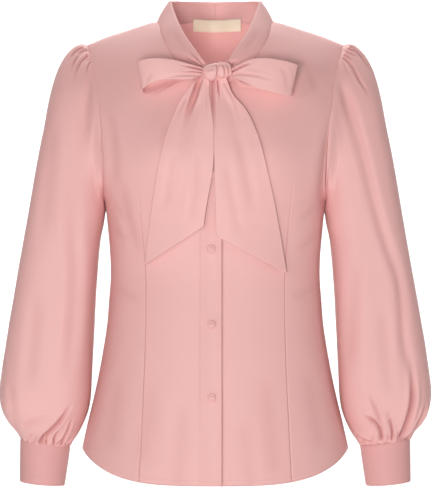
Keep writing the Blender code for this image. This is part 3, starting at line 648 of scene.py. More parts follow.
def rowEnds(up, edge, facing):
    # Inner x and height, and outer x and height of a row, below or above the underarm
    if up <= lowerShare:
        share = up / lowerShare
        inner = mix(form["hemFrontZ"] if facing == "front" else form["hemBackZ"], form["underarmZ"], share)
        outer = mix(form["hemSideZ"], form["underarmZ"], share)
        return edge, inner, None, outer, share
    position = (up - lowerShare) / (1 - lowerShare) * (len(upperRows) - 1)
    low = min(int(position), len(upperRows) - 2)
    share = position - low
    outer = rowAt(upperRows, position)[1]
    if facing == "back":
        inner = rowAt([(z,) for z in backMiddle], position)[0]
        return edge, inner, readAt(backArmhole, outer, 1), outer, None
    inner = mix(upperRows[low][0], upperRows[low + 1][0], share)
    innerX = edge
    if inner >= frontNeckline[0][0]:
        innerX = neckX(inner) - panel["neckTuck"] * ease((inner + 98) / 10)
        if innerX < edge:
            innerX, inner = edge, min(inner, neckZ(edge))
    return innerX, inner, readAt(frontArmhole, outer, 1), outer, None


def panelPoint(across, up, edge, facing, dartShift=0):
    innerX, innerZ, outerX, outerZ, hemShare = rowEnds(up, edge, facing)
    first = angleAt(innerX, innerZ)
    last = math.pi / 2 if outerX is None else angleAt(outerX, outerZ)
    middle = (innerZ + outerZ) / 2
    dart = angleAt(readAt(dartLine, middle, 1) + dartShift, middle)
    near = panel["dartHalf"] / readAt(bodyRows, middle, 1)
    if across < dartFirst:
        angle = mix(first, dart - near, across / dartFirst)
    elif across > dartLast:
        angle = mix(dart + near, last, (across - dartLast) / (1 - dartLast))
    else:
        angle = mix(dart - near, dart + near, (across - dartFirst) / (dartLast - dartFirst))
    share = (angle - first) / (last - first)
    z = mix(innerZ, outerZ, share)
    if hemShare is not None:
        z = mix(hemHeight(angle, facing), form["underarmZ"], hemShare)
    x = xAt(angle, z)
    if up > 0.9999 and facing == "front":
        z = shoulderHeight(x)
    lift = 0
    if dartFirst <= across <= dartLast:
        away = (across - (dartFirst + dartLast) / 2) / (dartLast - dartFirst) * 2 * panel["dartHalf"]
        fade = ease((panel["dartTop"] - z) / panel["dartFade"])
        lift -= panel["dartDepth"] * hump(away, panel["dartWidth"]) * fade
    return x, z, lift


def seamLift(distance):
    return -panel["seamDip"] * hump(distance, panel["seamWidth"])


def seamDips(across, up):
    # The cloth dips beside the side and armhole seams, and beside the shoulder seam
    lift = seamLift((1 - across) * panel["across"])
    if up > 0.97:
        lift += seamLift((1 - up) * panel["tall"])
    return lift


def frontPoint(across, up, edge):
    x, z, lift = panelPoint(across, up, edge, "front")
    lift += seamDips(across, up)
    if edge > 0:
        lift -= panel["underPlacket"] * ease((panel["placketSeam"] + 0.2 - x) / 0.8)
    if z > -99:
        # The cloth dips beside the neck seam too
        lift -= panel["neckDip"] * hump(across * 110, panel["neckDipWidth"]) * ease((z + 99) / 8)
    point = onForm(x, z, "front", lift)
    if across > 0.999 and up <= lowerShare + 0.001:
        point.y = min(point.y, -panel["sideGap"])
    return point


bodyFolds = [
    makeFold(-95, 1.5, 6.5, [(119.3, 178), (124, 205), (131, 232), (138.7, 255)]),
    makeFold(-80, 0.9, 5, [(112.5, 200), (120, 214), (131, 224)]),
    makeFold(-80, 0.8, 5, [(110.5, 226), (120, 234), (133, 240)]),
    makeFold(-80, 0.8, 5, [(317, 202), (309, 213), (299, 221)]),
    makeFold(-80, 0.9, 5.5, [(321, 228), (311, 240), (296, 252)]),
    makeFold(-90, 0.4, 6.5, [(113, 286), (127, 296), (141, 300)]),
    makeFold(-90, 0.35, 6.5, [(318, 285), (304, 294), (291, 297)]),
    makeFold(-105, 0.8, 8, [(164, 118), (172, 150), (177, 176)]),
    makeFold(-110, 0.9, 13, [(150, 380), (147, 420), (140, 452)], end=0),
    makeFold(-90, 0.8, 10, [(120, 372), (114, 410), (110, 440)], end=0),
    makeFold(-110, 0.8, 13, [(265, 372), (270, 420), (274, 462)], end=0),
    makeFold(-90, 0.8, 10, [(306, 370), (314, 410), (320, 440)], end=0),
    makeFold(-110, 0.6, 12, [(184, 400), (181, 440), (178, 480)], end=0),
    makeFold(-110, 0.6, 12, [(244, 410), (247, 450), (250, 480)], end=0),
    makeFold(-70, 4.2, 8.5, [(336, 106), (331.5, 135), (327.5, 160), (324.5, 190), (321.5, 222)],
             start=0.4, ridge=0.2, tint=0.2),
    makeFold(-70, 1.6, 7, [(104, 96), (111, 126), (114, 160), (114, 196)], ridge=0.3),
    makeFold(-60, 1, 6, [(300, 60), (309, 74), (318, 96)], ridge=0.3),
]
# Painted shade: a dark line is painted along each waist dart
bodyFolds += [
    makeFold(None, 0, 0.9, [(side * x, z) for z, x in dartLine[:5]], start=0, end=0.25, tint=0.6)
    for side in (1, -1)
]
backFolds = [
    backFold(1.1, 7, [(-150, -250), (-120, -268), (-88, -272)]),
    backFold(1, 7, [(150, -254), (124, -270), (94, -280)]),
    backFold(0.8, 11, [(-78, -296), (-42, -311), (2, -318), (38, -311)]),
    backFold(0.7, 11, [(-26, -340), (12, -349), (54, -346), (96, -332)]),
    backFold(1.2, 10, [(-112, -90), (-100, -140), (-96, -190)]),
    backFold(1.1, 10, [(114, -96), (104, -150), (98, -204)]),
    backFold(1.6, 14, [(-60, -460), (-66, -540), (-72, -618)], end=0),
    backFold(1.5, 14, [(18, -470), (22, -550), (24, -620)], end=0),
    backFold(1.5, 13, [(96, -450), (106, -530), (114, -610)], end=0),
    backFold(1.3, 12, [(-120, -440), (-134, -530), (-142, -600)], end=0),
]


def seamStill(vert):
    # Keeps the shell still where it meets another piece at the side, armhole and shoulder
    x, y, z = vert.co / mm
    still = ease((abs(y) - 2) / 22)
    if z > form["underarmZ"]:
        armhole = readAt(frontArmhole if y < 0 else backArmhole, z, 1)
        still *= ease((armhole - abs(x) + 0.8) / 3.2)
    return still


def shoulderShade(vert):
    # Painted shade darkens the colour beside the shoulder seam, over the shoulder tops
    x, y, z = vert.co / mm
    return 0.3 * ease(1 - (shoulderHeight(x) - z) / 16)


def makeFrontPanels():
    for name, side, edge, width, flat, area, node in (
        ("frontLeftPanel", 1, -panel["underlap"], 190, (0.30, 0.66), 0.125, "front_left"),
        ("frontRightPanel", -1, panel["placketSeam"] - 2, 160, (0.27, 0.66), 0.105, "front_right"),
    ):
        front = clothGrid(dartColumns, panelRows, lambda a, u: frontPoint(a, u, edge), width, 640)
        if side < 0:
            mirrorAcross(front)
        pressFolds(front, bodyFolds, panel["ripple"], seamStill, shoulderShade)
        finishCloth(front, name, panelCrepe, panel["wall"], [node])


def backTopHeight(x):
    return readAt(backNeckline, x, 1) if x <= form["neckPointX"] else shoulderHeight(x)


def backPoint(across, up):
    # across runs from side to side, and half from the centre back out to a side
    side = 2 * across - 1
    half = abs(side)
    x, z, lift = panelPoint(half, up, 0, "back", panel["backDartShift"])
    position = (up - lowerShare) / (1 - lowerShare)
    if position > 0.9:
        top = backTopHeight(x)
        if x < form["neckPointX"]:
            top += panel["neckTuck"]
        z = mix(z, top, ease((position - 0.9) / 0.1))
    point = onForm(math.copysign(x, side), z, "back", lift + seamDips(half, up))
    point.y = max(point.y, panel["sideGap"])
    return point


def makeBack():
    back = clothGrid(2 * dartColumns, panelRows, backPoint, 420, 640, flip=True)
    pressFolds(back, backFolds, panel["ripple"], seamStill, shoulderShade)
    finishCloth(back, "backPanel", panelCrepe, panel["wall"],
                ["back"])


makeFrontPanels()
makeBack()
print("blouse: panels made")

# Buttonhole band

button = {
    "radius": 5.7,
    "height": 4.2,
    "x": -5,
    "top": -112,
    "pitch": 99,
    "places": (0, 0, 0, -2.6, 0),
    "gap": 0.7,
}
placket = {
    "left": -20.4,
    "flat": -6,
    "right": 9.2,
    "lift": 2.3,
    "wall": 1.2,
    "columns": 30,
    "rows": 150,
    "wave": 0.35,
    "edgeLift": 1.5,
    "ripple": 0.15,
}


def placketTop(x):
    if x >= 0:
        return -100.3
    return mix(-100, -86, -x / 22) - 0.3


def placketLift(x):
    return placket["lift"] * ease((x - placket["left"]) / (placket["flat"] - placket["left"]))


def placketPoint(across, up):
    x = mix(placket["left"], placket["right"], across)
    bottom = hemHeight(angleAt(x, form["hemFrontZ"]), "front")
    z = mix(bottom, placketTop(x), up)
    lift = placketLift(x) + placket["edgeLift"] * ease((across - 0.7) / 0.3)
    x += placket["wave"] * across * noise.noise(Vector((2.3, 0, z / 55)))
    for number in range(len(button["places"])):
        away = math.hypot(x - button["x"], (z - button["top"] + button["pitch"] * number) * 0.6)
        lift -= 0.35 * hump(away, 6)
    return onForm(x, z, "front", lift)


def placketShade(vert):
    # Painted shadow: a dark line is painted along the edge that lies on the left front
    return 0.95 * ease((vert.co.x / mm - placket["right"] + 1.5) / 1.2)


def makePlacket():
    band = clothGrid(placket["columns"], placket["rows"], placketPoint, 29.6, 530)
    pressFolds(band, [], placket["ripple"], None, placketShade)
    finishCloth(band, "buttonPlacket", placketCrepe, placket["wall"],
                ["button_placket"])


makePlacket()
print("blouse: buttonhole band made")

# Sleeves

# outer x, outer z, inner x, inner z, front depth, back depth, middle y
sleeveRings = [
    (178.1, -31, 152.7, -247, 65, 66, 0),
    (185, -29.5, 152.9, -248.8, 64.5, 66, 0),
    (195, -33.5, 152.4, -250.8, 63.5, 65.5, 0),
    (208, -47.5, 151.7, -253, 62, 65, 0),
    (219, -69, 151.2, -255.6, 60.5, 64, -0.5),
    (228.5, -104, 151.5, -259.4, 58.5, 62, -1),
    (236.5, -150, 152.6, -266, 56.5, 60, -2),
    (246, -200, 154.6, -279, 55, 58, -3),
    (258, -268, 159.4, -305, 54, 57, -4.5),
    (272.5, -351, 163.9, -361, 54, 57, -6.5),
    (285.5, -427, 167, -430, 54.5, 57, -8.5),
    (294, -486, 169.6, -489, 55, 57, -10.5),
    (295.6, -509, 171, -512, 54.5, 56, -11),
    (292.2, -530.5, 174.3, -532, 51.5, 53, -11.5),
    (283.5, -548, 180.8, -550, 46.5, 47.5, -12),
    (274.5, -559.3, 188.5, -564.3, 40, 41, -12),
    (269.5, -566, 195.3, -573.6, 34.5, 35, -12),
    (267.3, -569.8, 199.2, -579.4, 31.5, 31.5, -12),
]
headShares = [3, 3, 3, 3, 2, 2, 2, 1, 1, 1, 1, 1, 1]

sleeve = {
    "columns": 264,
    "rows": 180,
    "crowding": 0.62,
    "wall": 1,
    "ovalFrom": 7,
    "flatness": 3,
    "roundFrom": 12.5,
    "roundOver": 3.5,
    "gap": 0.1,
    "tuckIn": 2.4,
    "tuckUnder": 1.2,
    "tuckRows": 0.16,
    "cuffTuck": 2.6,
    "cuffUnder": 1.9,
    "cuffTuckRows": 0.25,
    "ripple": 1.1,
    "headDepth": 1.1,
    "cuffPleats": 22,
    "cuffDepth": 1.9,
}


def headPosition(columnShare):
    # Row of the armhole table, from the shoulder tip at 0 to the underarm, for a share of half the seam
    steps = columnShare * 24
    passed = 0
    for at, count in enumerate(headShares):
        if steps <= passed + count:
            return at + (steps - passed) / count
        passed += count
    return len(headShares)


def seamPoint(turn):
    # turn goes once round: the shoulder tip, down the front to the underarm, up the back
    front = turn <= 0.5
    half = turn * 2 if front else (1 - turn) * 2
    position = len(upperRows) - 1 - headPosition(half)
    z = rowAt(upperRows, position)[1]
    table, facing = (frontArmhole, "front") if front else (backArmhole, "back")
    x = readAt(table, z, 1)
    point = onForm(x, z, facing)
    if half < 0.001:
        # Front and back meet at the shoulder tip
        point.y = 0
    return point


def ringFrame(ring):
    outer, inner = Vector((ring[0], 0, ring[1])), Vector((ring[2], 0, ring[3]))
    middle = (outer + inner) / 2
    middle.y = ring[6]
    return middle, (outer - inner).length / 2, (outer - inner).normalized()


headMiddle, headHalf, headAlong = ringFrame(sleeveRings[0])
headNormal = Vector((headAlong.z, 0, -headAlong.x))
cuffDown = Vector((0.03, 0, -1)).normalized()


def unevenPleats(count, seed, jitter, long):
    # Each pleat has its own place round the sleeve, depth, width and length
    pick = random.Random(seed)
    pleats = []
    for n in range(count):
        pleats.append({
            "turn": (n + jitter * (pick.random() - 0.5)) / count,
            "depth": 0.55 + 0.75 * pick.random(),
            "width": (0.24 + 0.14 * pick.random()) / count,
            "reach": long * (0.35 + 0.9 * pick.random() ** 1.5),
        })
    return pleats


cuffPleats = unevenPleats(sleeve["cuffPleats"], 7, 0.7, 4.2)
headPleats = [
    {"turn": t, "depth": d, "width": w, "reach": r}
    for t, d, w, r in [
        (-0.150, 0.6, 0.012, 2.2), (-0.112, 0.9, 0.011, 3), (-0.078, 0.7, 0.010, 2.2),
        (-0.046, 1, 0.010, 3.2), (-0.014, 0.8, 0.009, 2.4), (0.020, 0.9, 0.010, 2.6),
        (0.052, 1.2, 0.011, 3.8), (0.086, 0.8, 0.010, 2.6), (0.118, 1, 0.012, 3.4), (0.156, 0.6, 0.012, 2.4),
    ]
]


def pleatSwell(pleats, turn, travelled):
    # travelled is how many rings the place lies from the seam that the pleats start at
    swell = 0
    for one in pleats:
        away = abs((turn - one["turn"] + 0.5) % 1 - 0.5)
        width = one["width"] * (1 + 0.25 * travelled)
        if away > foldReach * width:
            continue
        fade = ease(1 - travelled / one["reach"])
        ridge = 0.4 * hump(away - ridgeAway * width, ridgeWidth * width)
        swell += one["depth"] * fade * (ridge - hump(away, width))
    return swell


def sleevePoint(turn, up):
    # Rows lie closer together at the head and at the cuff, where the gathers are
    crowd = sleeve["crowding"] * math.sin(2 * math.pi * up) / (2 * math.pi)
    position = (up - crowd) * (len(sleeveRings) - 1)
    ring = rowAt(sleeveRings, position)
    middle, half, along = ringFrame(ring)
    normal = Vector((along.z, 0, -along.x))
    seam = seamPoint(turn)
    offset = seam - headMiddle
    seamDepth = sleeveRings[0][4] if offset.y < 0 else sleeveRings[0][5]
    seamUp = offset.dot(headAlong) / headHalf
    seamForward = -offset.y / seamDepth
    seamBow = offset.dot(headNormal)
    roundShare = ease(position / sleeve["ovalFrom"])
    # The sleeve lies flatter than an oval, and is round again at the cuff
    power = mix(2 / sleeve["flatness"], 1, ease((position - sleeve["roundFrom"]) / sleeve["roundOver"]))
    cosine, sine = math.cos(2 * math.pi * turn), math.sin(2 * math.pi * turn)
    upNow = mix(seamUp, math.copysign(abs(cosine) ** power, cosine), roundShare)
    forward = mix(seamForward, math.copysign(abs(sine) ** power, sine), roundShare)
    depth = ring[4] if forward > 0 else ring[5]
    point = middle + along * (half * upNow) + Vector((0, -depth * forward, 0))
    point += normal * seamBow * (1 - roundShare)
    outward = Vector((along.x * upNow, -forward, along.z * upNow)).normalized()
    fromCuff = len(sleeveRings) - 1 - position
    swell = sleeve["headDepth"] * pleatSwell(headPleats, turn, position) * ease(position / 0.5)
    swell += sleeve["cuffDepth"] * pleatSwell(cuffPleats, turn, fromCuff) * mix(0.75, 1, ease(fromCuff / 0.8))
    point += outward * swell
    if position < 1:
        point = (seam + Vector((sleeve["gap"], 0, 0))).lerp(point, ease(position))
        tuck = ease(1 - position / sleeve["tuckRows"])
        if tuck:
            facing = "front" if turn <= 0.5 else "back"
            out = formNormal(min(seam.x, readAt(bodyRows, seam.z, 1) - 1.2), seam.z, facing)
            if seam.y == 0:
                out = Vector((out.x, 0, out.z)).normalized()
            into = Vector((-1, 0, 0)) + out * out.x
            point += (into * sleeve["tuckIn"] - out * sleeve["tuckUnder"]) * tuck
    if fromCuff < sleeve["cuffTuckRows"]:
        tuck = ease(1 - fromCuff / sleeve["cuffTuckRows"])
        point += (cuffDown * sleeve["cuffTuck"] - outward * sleeve["cuffUnder"]) * tuck
    return point


sleeveFoldsLeft = [
    creaseShade(-8, 2.8, 1.7, [(350, 45.5), (355, 50), (362, 59), (370, 72), (376.4, 87)], 0.05, 0.6, tint=0.6),
    creaseShade(-45, 2.4, 2.2, [(343.5, 55.5), (352.6, 65.6), (359, 78.6), (366, 90), (370, 97)],
           0.06, 0.6, tint=0.55),
    creaseShade(-25, 2.6, 1.2, [(345.5, 51), (351, 53), (357.5, 57.5)], 0.1, 0.5),
    creaseShade(-35, 2.6, 1.2, [(344.5, 53.5), (349, 56.5), (354, 62)], 0.1, 0.5),
    creaseShade(-15, 2.4, 1.2, [(347.5, 48), (353, 51), (359, 55.5)], 0.1, 0.5),
    makeFold(-50, 1.1, 1.8, [(343, 60), (346, 66), (350, 75)], start=0.1, end=0.6),
    makeFold(-50, 3.6, 6.5, [(341, 74), (348, 103), (354.8, 127), (365.6, 168), (373.9, 204),
             (389, 253), (399.7, 284), (404, 344), (412, 376)], start=0.12, end=0.12, ridge=0.18),
    makeFold(-55, 1.6, 9, [(356, 250), (352, 320), (348, 370)], ridge=0.5),
    makeFold(-40, 1.2, 7, [(380, 300), (384, 350), (389, 400)], ridge=0.5),
    creaseShade(-50, 5, 2.4, [(361, 415.5), (369.5, 418.8), (376.3, 423.7), (380.4, 431.8), (382, 439.5)],
           0.35, 0),
    makeFold(-52, 2.6, 2.4, [(367.5, 391), (373, 404), (378, 415.5), (383, 431)], start=0.4, tint=0.35),
    creaseShade(-50, 4.2, 2, [(384.5, 407), (389.3, 420.4), (392.4, 433), (392.6, 440)], 0.4, 0),
    makeFold(-40, 6.4, 3.6, [(409.5, 352), (411.6, 384), (411, 401), (408, 415.5), (404.4, 429),
             (400.6, 439)], start=0.35, end=0, sharp=1.5),
    makeFold(-25, 7.5, 2.2, [(425.5, 402), (421.5, 413), (416, 424), (409.8, 433.5), (405.2, 439.2)],
             end=0, sharp=1.3, tint=1.1),
    creaseShade(-42, 4.2, 1.5, [(351, 430), (359.5, 438), (366, 441), (371.5, 442)], 0.2, 0.2),
    creaseShade(-40, 2.8, 1.1, [(355, 436), (360, 442), (366.5, 444)], 0.2, 0.2),
    creaseShade(-50, 1.6, 0.9, [(378, 433), (379, 441)], 0.5, 0, tint=0.4),
    creaseShade(-50, 1.6, 0.9, [(387.5, 432), (388.2, 440)], 0.5, 0, tint=0.4),
    creaseShade(-45, 1.8, 0.9, [(397.6, 429), (396.6, 439)], 0.5, 0, tint=0.45),
    creaseShade(-48, 1.4, 0.9, [(371.5, 436), (373, 443)], 0.5, 0, tint=0.4),
    # A painted shadow line along the lower armhole
    makeFold(-35, 0, 1.5, [(329, 150), (327.6, 170), (326.6, 190), (326.2, 205)],
             start=0.5, end=0, tint=0.45),
]
sleeveFoldsRight = [
    creaseShade(-40, 2.9, 1.7, [(88, 53.5), (82, 59), (78.5, 64), (75.6, 73), (74, 88)], 0.06, 0.6, tint=0.65),
    creaseShade(-15, 2.6, 1.2, [(87.5, 50), (84, 50.6), (80.6, 52.7), (77, 56)], 0.1, 0.5),
    creaseShade(-5, 2.6, 1.4, [(84, 47.5), (78, 50), (72.5, 56), (67, 66)], 0.08, 0.5),
    creaseShade(-25, 1.2, 1.7, [(80, 54), (76.5, 58), (73.5, 64), (71, 73)], 0.3, 0.5),
    creaseShade(-50, 1.1, 1.6, [(90, 60), (87, 66), (85.5, 76)], 0.1, 0.6),
    makeFold(-50, 1.4, 5.5, [(91, 74), (88, 98), (84, 130), (80, 165)], start=0.15, end=0.4, ridge=0.45),
    makeFold(-55, 2.2, 8, [(73, 180), (73, 232), (75, 279), (71, 344), (65, 383)], ridge=0.5),
    makeFold(-45, 1.5, 9, [(54, 110), (50, 180), (42, 250)], ridge=0.5),
    makeFold(-40, 1.5, 9, [(38, 290), (34, 340), (30, 392)], ridge=0.5),
    makeFold(-10, 1, 5, [(13, 378), (15, 392), (20, 436)], start=0.4, end=0),
    creaseShade(-50, 6, 2.4, [(39.8, 443), (43.8, 436.6), (48.5, 432.5), (58.5, 422.8), (66.5, 412),
           (75, 399)], 0, 0.4),
    creaseShade(-50, 4.6, 1.6, [(60.5, 444), (65, 436), (68.6, 429), (73, 418)], 0, 0.45),
    makeFold(-40, 2.6, 3.2, [(24, 430), (29, 423), (38, 419), (52, 415.5)], end=0.4),
    creaseShade(-45, 3.8, 1.1, [(45.9, 443.5), (46.4, 437), (45.5, 432)], 0, 0.5),
    creaseShade(-50, 3.4, 1.2, [(53.2, 444), (54.2, 438), (57.5, 432), (62, 428)], 0, 0.5),
    creaseShade(-50, 3, 0.9, [(56.5, 444.5), (60.5, 440), (63.5, 437)], 0, 0.4),
    creaseShade(-45, 3.6, 1, [(64.5, 444), (68, 441), (72.5, 438)], 0, 0.4),
    creaseShade(-38, 3, 0.9, [(67, 445.5), (71, 443.5), (75, 439)], 0, 0.3),
    makeFold(-40, 1.2, 1.2, [(31, 441), (30, 437), (31.5, 433), (36, 431)],
             start=0, end=0.6, sharp=1.6, tint=0.35),
    makeFold(-42, 1.2, 1.1, [(38, 442), (36.5, 438), (34, 435)], start=0, end=0.5, sharp=1.6, tint=0.35),
    # A painted shadow line along the lower armhole
    makeFold(-35, 0, 1.6, [(100.6, 141), (102.4, 165), (103.9, 186), (105.2, 205)],
             start=0.5, end=0, tint=0.6),
    # Painted shade beside the underarm
    makeFold(-35, 0, 4, [(94, 164), (97.5, 180), (101, 194)], end=0.2, tint=0.12),
]
# Hidden sides get folds of the same kinds, in their own places
sleeveFoldsBack = [
    backFold(1.8, 4, [(186, -60), (196, -84), (200, -120)], start=0.15, end=0.5),
    backFold(1.6, 4.6, [(172, -70), (182, -110), (188, -160)], start=0.15, end=0.5),
    backFold(2.2, 10, [(206, -150), (222, -260), (236, -360)], ridge=0.5),
    backFold(1.9, 10, [(182, -250), (194, -330), (204, -420)], ridge=0.5),
    backFold(1.2, 9, [(206, -396), (232, -428), (262, -446)]),
    backFold(2.2, 5, [(222, -570), (214, -545), (200, -520)], start=0, end=0.5),
    backFold(2.4, 5, [(240, -572), (246, -545), (262, -512)], start=0, end=0.5),
    backFold(1.8, 4, [(232, -572), (231, -548), (226, -520)], start=0, end=0.5),
]


def turned(fold):
    # The same fold for the other sleeve, a little lower and nearer the body
    return foldAlong(**dict(fold, line=[(-x + 4, z - 9) for x, z in fold["line"]]))


def makeSleeves():
    for name, side, folds, node in (
        ("sleeveLeft", 1, sleeveFoldsLeft + sleeveFoldsBack, "sleeve_left"),
        ("sleeveRight", -1, sleeveFoldsRight + [turned(fold) for fold in sleeveFoldsBack], "sleeve_right"),
    ):
        tube = clothGrid(sleeve["columns"], sleeve["rows"], sleevePoint, 330, 560, closed=True)
        if side < 0:
            mirrorAcross(tube)
        edges = {v for e in tube.edges if e.is_boundary for v in e.verts}

        def still(vert):
            return 0 if vert in edges else 1

        pressFolds(tube, folds, sleeve["ripple"], still)
        finishCloth(tube, name, plainCrepe, sleeve["wall"],
                    [node])


makeSleeves()
print("blouse: sleeves made")

# Cuffs

# outer x, outer z, inner x, inner z, half depth
cuffRings = [
    (267.7, -570, 198.9, -579.8, 32),
    (268.2, -591.5, 201.5, -599, 31.4),
    (268.5, -610.5, 204.2, -617, 30.6),
    (268.7, -629, 206.9, -635, 29.8),
]
cuff = {
    "middleY": -12,
    "lapAngle": 26,
    "startAngle": 250,
    "lapLift": 2.7,
    "wall": 1.6,
    "columns": 150,
    "rows": 30,
    "ripple": 0.35,
}


def cuffPoint(across, up):
    ring = rowAt(cuffRings, up * 3)
    outer = Vector((ring[0], cuff["middleY"], ring[1]))
    inner = Vector((ring[2], cuff["middleY"], ring[3]))
    middle, along = (outer + inner) / 2, (outer - inner).normalized()
    passed = (360 + cuff["lapAngle"]) * across
    lift = cuff["lapLift"] * ease((passed - 360 + cuff["lapAngle"]) / cuff["lapAngle"])
    lift -= 0.45 * (hump(up * 55, 1.6) + hump((1 - up) * 55, 1.6))
    turn = math.radians(cuff["startAngle"] + passed)
    side = ((outer - inner).length / 2 + lift) * math.cos(turn)
    return middle + along * side + Vector((0, -(ring[4] + lift) * math.sin(turn), 0))


def makeCuffs():
    for name, side, node in (("cuffLeft", 1, "cuff_left"), ("cuffRight", -1, "cuff_right")):
        strip = clothGrid(cuff["columns"], cuff["rows"], cuffPoint, 222, 55)
        if side < 0:
            mirrorAcross(strip)
        pressFolds(strip, [], cuff["ripple"])
        bmesh.ops.reverse_faces(strip, faces=strip.faces)
        finishCloth(strip, name, shadedCuffCrepe, -cuff["wall"],
                    [node])


makeCuffs()
print("blouse: cuffs made")

# Neck band

# lower edge x, y, z then top edge x, y, z, from the centre front round to the centre back
bandTopFront = [
    (9, -87.5, -66), (14, -87, -60), (20.1, -85.5, -51.8), (30.6, -76, -36.4),
    (42, -60.5, -18.2), (51.5, -39.5, 2.4), (61.6, -4, 30.9),
]
bandTopBack = [
    (0, 64.5, 37.3), (15, 62.5, 37.2), (29, 57, 36.8), (42.5, 47.5, 36.2),
    (54, 34.5, 35.4), (60.8, 17, 33.4), (61.6, -4, 30.9),
]
band = {
    "columns": 150,
    "rows": 26,
    "wall": 1.8,
    "roll": 1.6,
    "gap": 0.1,
    "ripple": 0.4,
}


def bandStations():
    stations = []
    for at, top in enumerate(bandTopFront):
        z, x = frontNeckline[at]
        lower = onForm(x, z, "front")
        stations.append(tuple(lower) + top)
    for at in range(len(bandTopBack) - 2, -1, -1):
        x, z = backNeckline[at]
        stations.append(tuple(onForm(x, z, "back")) + bandTopBack[at])
    return stations


bandRows = bandStations()
beside = bandRows[-2]
bandRows.append((-beside[0], beside[1], beside[2], -beside[3], beside[4], beside[5]))


def bandPoint(across, up):
    row = rowAt(bandRows, across * (len(bandRows) - 2))
    lower, top = Vector(row[:3]), Vector(row[3:])
    rise = (top - lower).normalized()
    middle = (lower + top) / 2
    away = Vector((middle.x, middle.y + 10, 0)).normalized()
    away = (away - rise * away.dot(rise)).normalized()
    start = lower + rise * band["gap"]
    roll = band["roll"] * 4 * up * (1 - up) - 0.6 * hump((1 - up) * 28, 1.5) - 0.5 * hump(up * 28, 1.6)
    point = start.lerp(top, up) + away * roll
    point.x = max(point.x, 0)
    return point


bandFolds = [
    creaseShade(-80, 1.6, 1.5, [(187, 48), (193, 54), (198.6, 60), (203.3, 65.5)], 0.5, 0.05, tint=0.5),
    creaseShade(-80, 1.5, 1.5, [(183, 55), (189, 58.6), (195.6, 62.6), (202, 66.8)], 0.4, 0.05, tint=0.45),
    makeFold(-80, 1.1, 2.2, [(232, 56), (227, 61), (223, 65)], start=0.4, end=0.1),
    makeFold(-80, 1, 2, [(239, 60), (233, 63), (227, 66)], start=0.4, end=0.1),
    makeFold(-50, 0.5, 4, [(172, 32), (180, 44), (188, 54)]),
    makeFold(-50, 0.5, 4, [(258, 32), (250, 44), (243, 52)]),
]


def makeNeckBand():
    for name, side, node in (
        ("neckBandLeft", 1, "neck_band_left"), ("neckBandRight", -1, "neck_band_right"),
    ):
        strip = clothGrid(band["columns"], band["rows"], bandPoint, 230, 28)
        if side < 0:
            mirrorAcross(strip)

        def still(vert):
            return ease((abs(vert.co.x) - 0.001) / 0.008)

        pressFolds(strip, bandFolds, band["ripple"], still)
        finishCloth(strip, name, bandCrepe, band["wall"],
                    [node])


makeNeckBand()
print("blouse: neck band made")

# Bow

knot = {
    "middleY": -109.5,
    "halfDepth": 9.5,
    "columns": 96,
    "rows": 150,
}
# x at the top, x at the bottom, top height, bottom height, share of the depth
knotRows = [
    (-11, -11, -71.5, -79, 0.50), (-14.6, -13.6, -70.6, -81, 0.70), (-15, -13, -68.6, -83.6, 0.86),
    (-11.5, -10, -66.6, -85.4, 0.98), (-7, -6.5, -64.8, -87, 1.06), (-2.5, -3.6, -63.4, -86.8, 1.09),
    (1.2, -0.8, -62.8, -85.2, 1.06), (3.2, 1.6, -63.2, -83.2, 0.97), (4.4, 3.8, -62.7, -82.6, 0.96),
    (6.6, 7, -61.8, -83.4, 1.03), (9, 10, -61.9, -83.2, 1.02), (10.4, 12.4, -62.6, -82.4, 0.94),
    (12.2, 14.8, -62.2, -82.6, 0.99), (14.2, 17, -62.6, -82, 0.98), (15.4, 18.6, -63.4, -81, 0.90),
    (17.2, 20.2, -63.4, -80.6, 0.93), (19, 21.6, -64.4, -79.6, 0.90), (20.6, 22.4, -66, -78.4, 0.80),
    (21, 21.8, -67.5, -77, 0.68), (17, 17, -69, -76, 0.55),
]


def knotPoint(across, up):
    topX, bottomX, top, bottom, share = rowAt(knotRows, up * (len(knotRows) - 1))
    turn = 2 * math.pi * across
    forward, rise = math.cos(turn), math.sin(turn)
    bulge = math.copysign(abs(forward) ** 0.8, forward)
    y = knot["middleY"] - knot["halfDepth"] * share * bulge
    return Vector((mix(bottomX, topX, (rise + 1) / 2), y, mix(bottom, top, (rise + 1) / 2)))


def makeKnot():
    barrel = clothGrid(knot["columns"], knot["rows"], knotPoint, 64, 60, closed=True)
    rims = [e for e in barrel.edges if e.is_boundary]
    bmesh.ops.holes_fill(barrel, edges=rims, sides=0)
    bmesh.ops.recalc_face_normals(barrel, faces=barrel.faces)
    pressFolds(barrel, knotFolds, 0.4)
    finishCloth(barrel, "bowKnot", tieCrepe, 0, nodes=["bow_knot"])


knotFolds = [
    makeFold(-118, 0.5, 2, [(205, 73), (208, 70), (213, 69), (217, 71)]),
    creaseShade(-118, 0.8, 0.9, [(215.5, 64.5), (217.4, 69), (216.6, 77)], 0.1, 0.1),
    creaseShade(-118, 0.8, 0.8, [(222.4, 64.8), (224.6, 70), (224.2, 76.6)], 0.1, 0.1),
    creaseShade(-117, 0.7, 0.7, [(226.6, 65.4), (228.6, 70), (228.4, 75.6)], 0.1, 0.1),
]


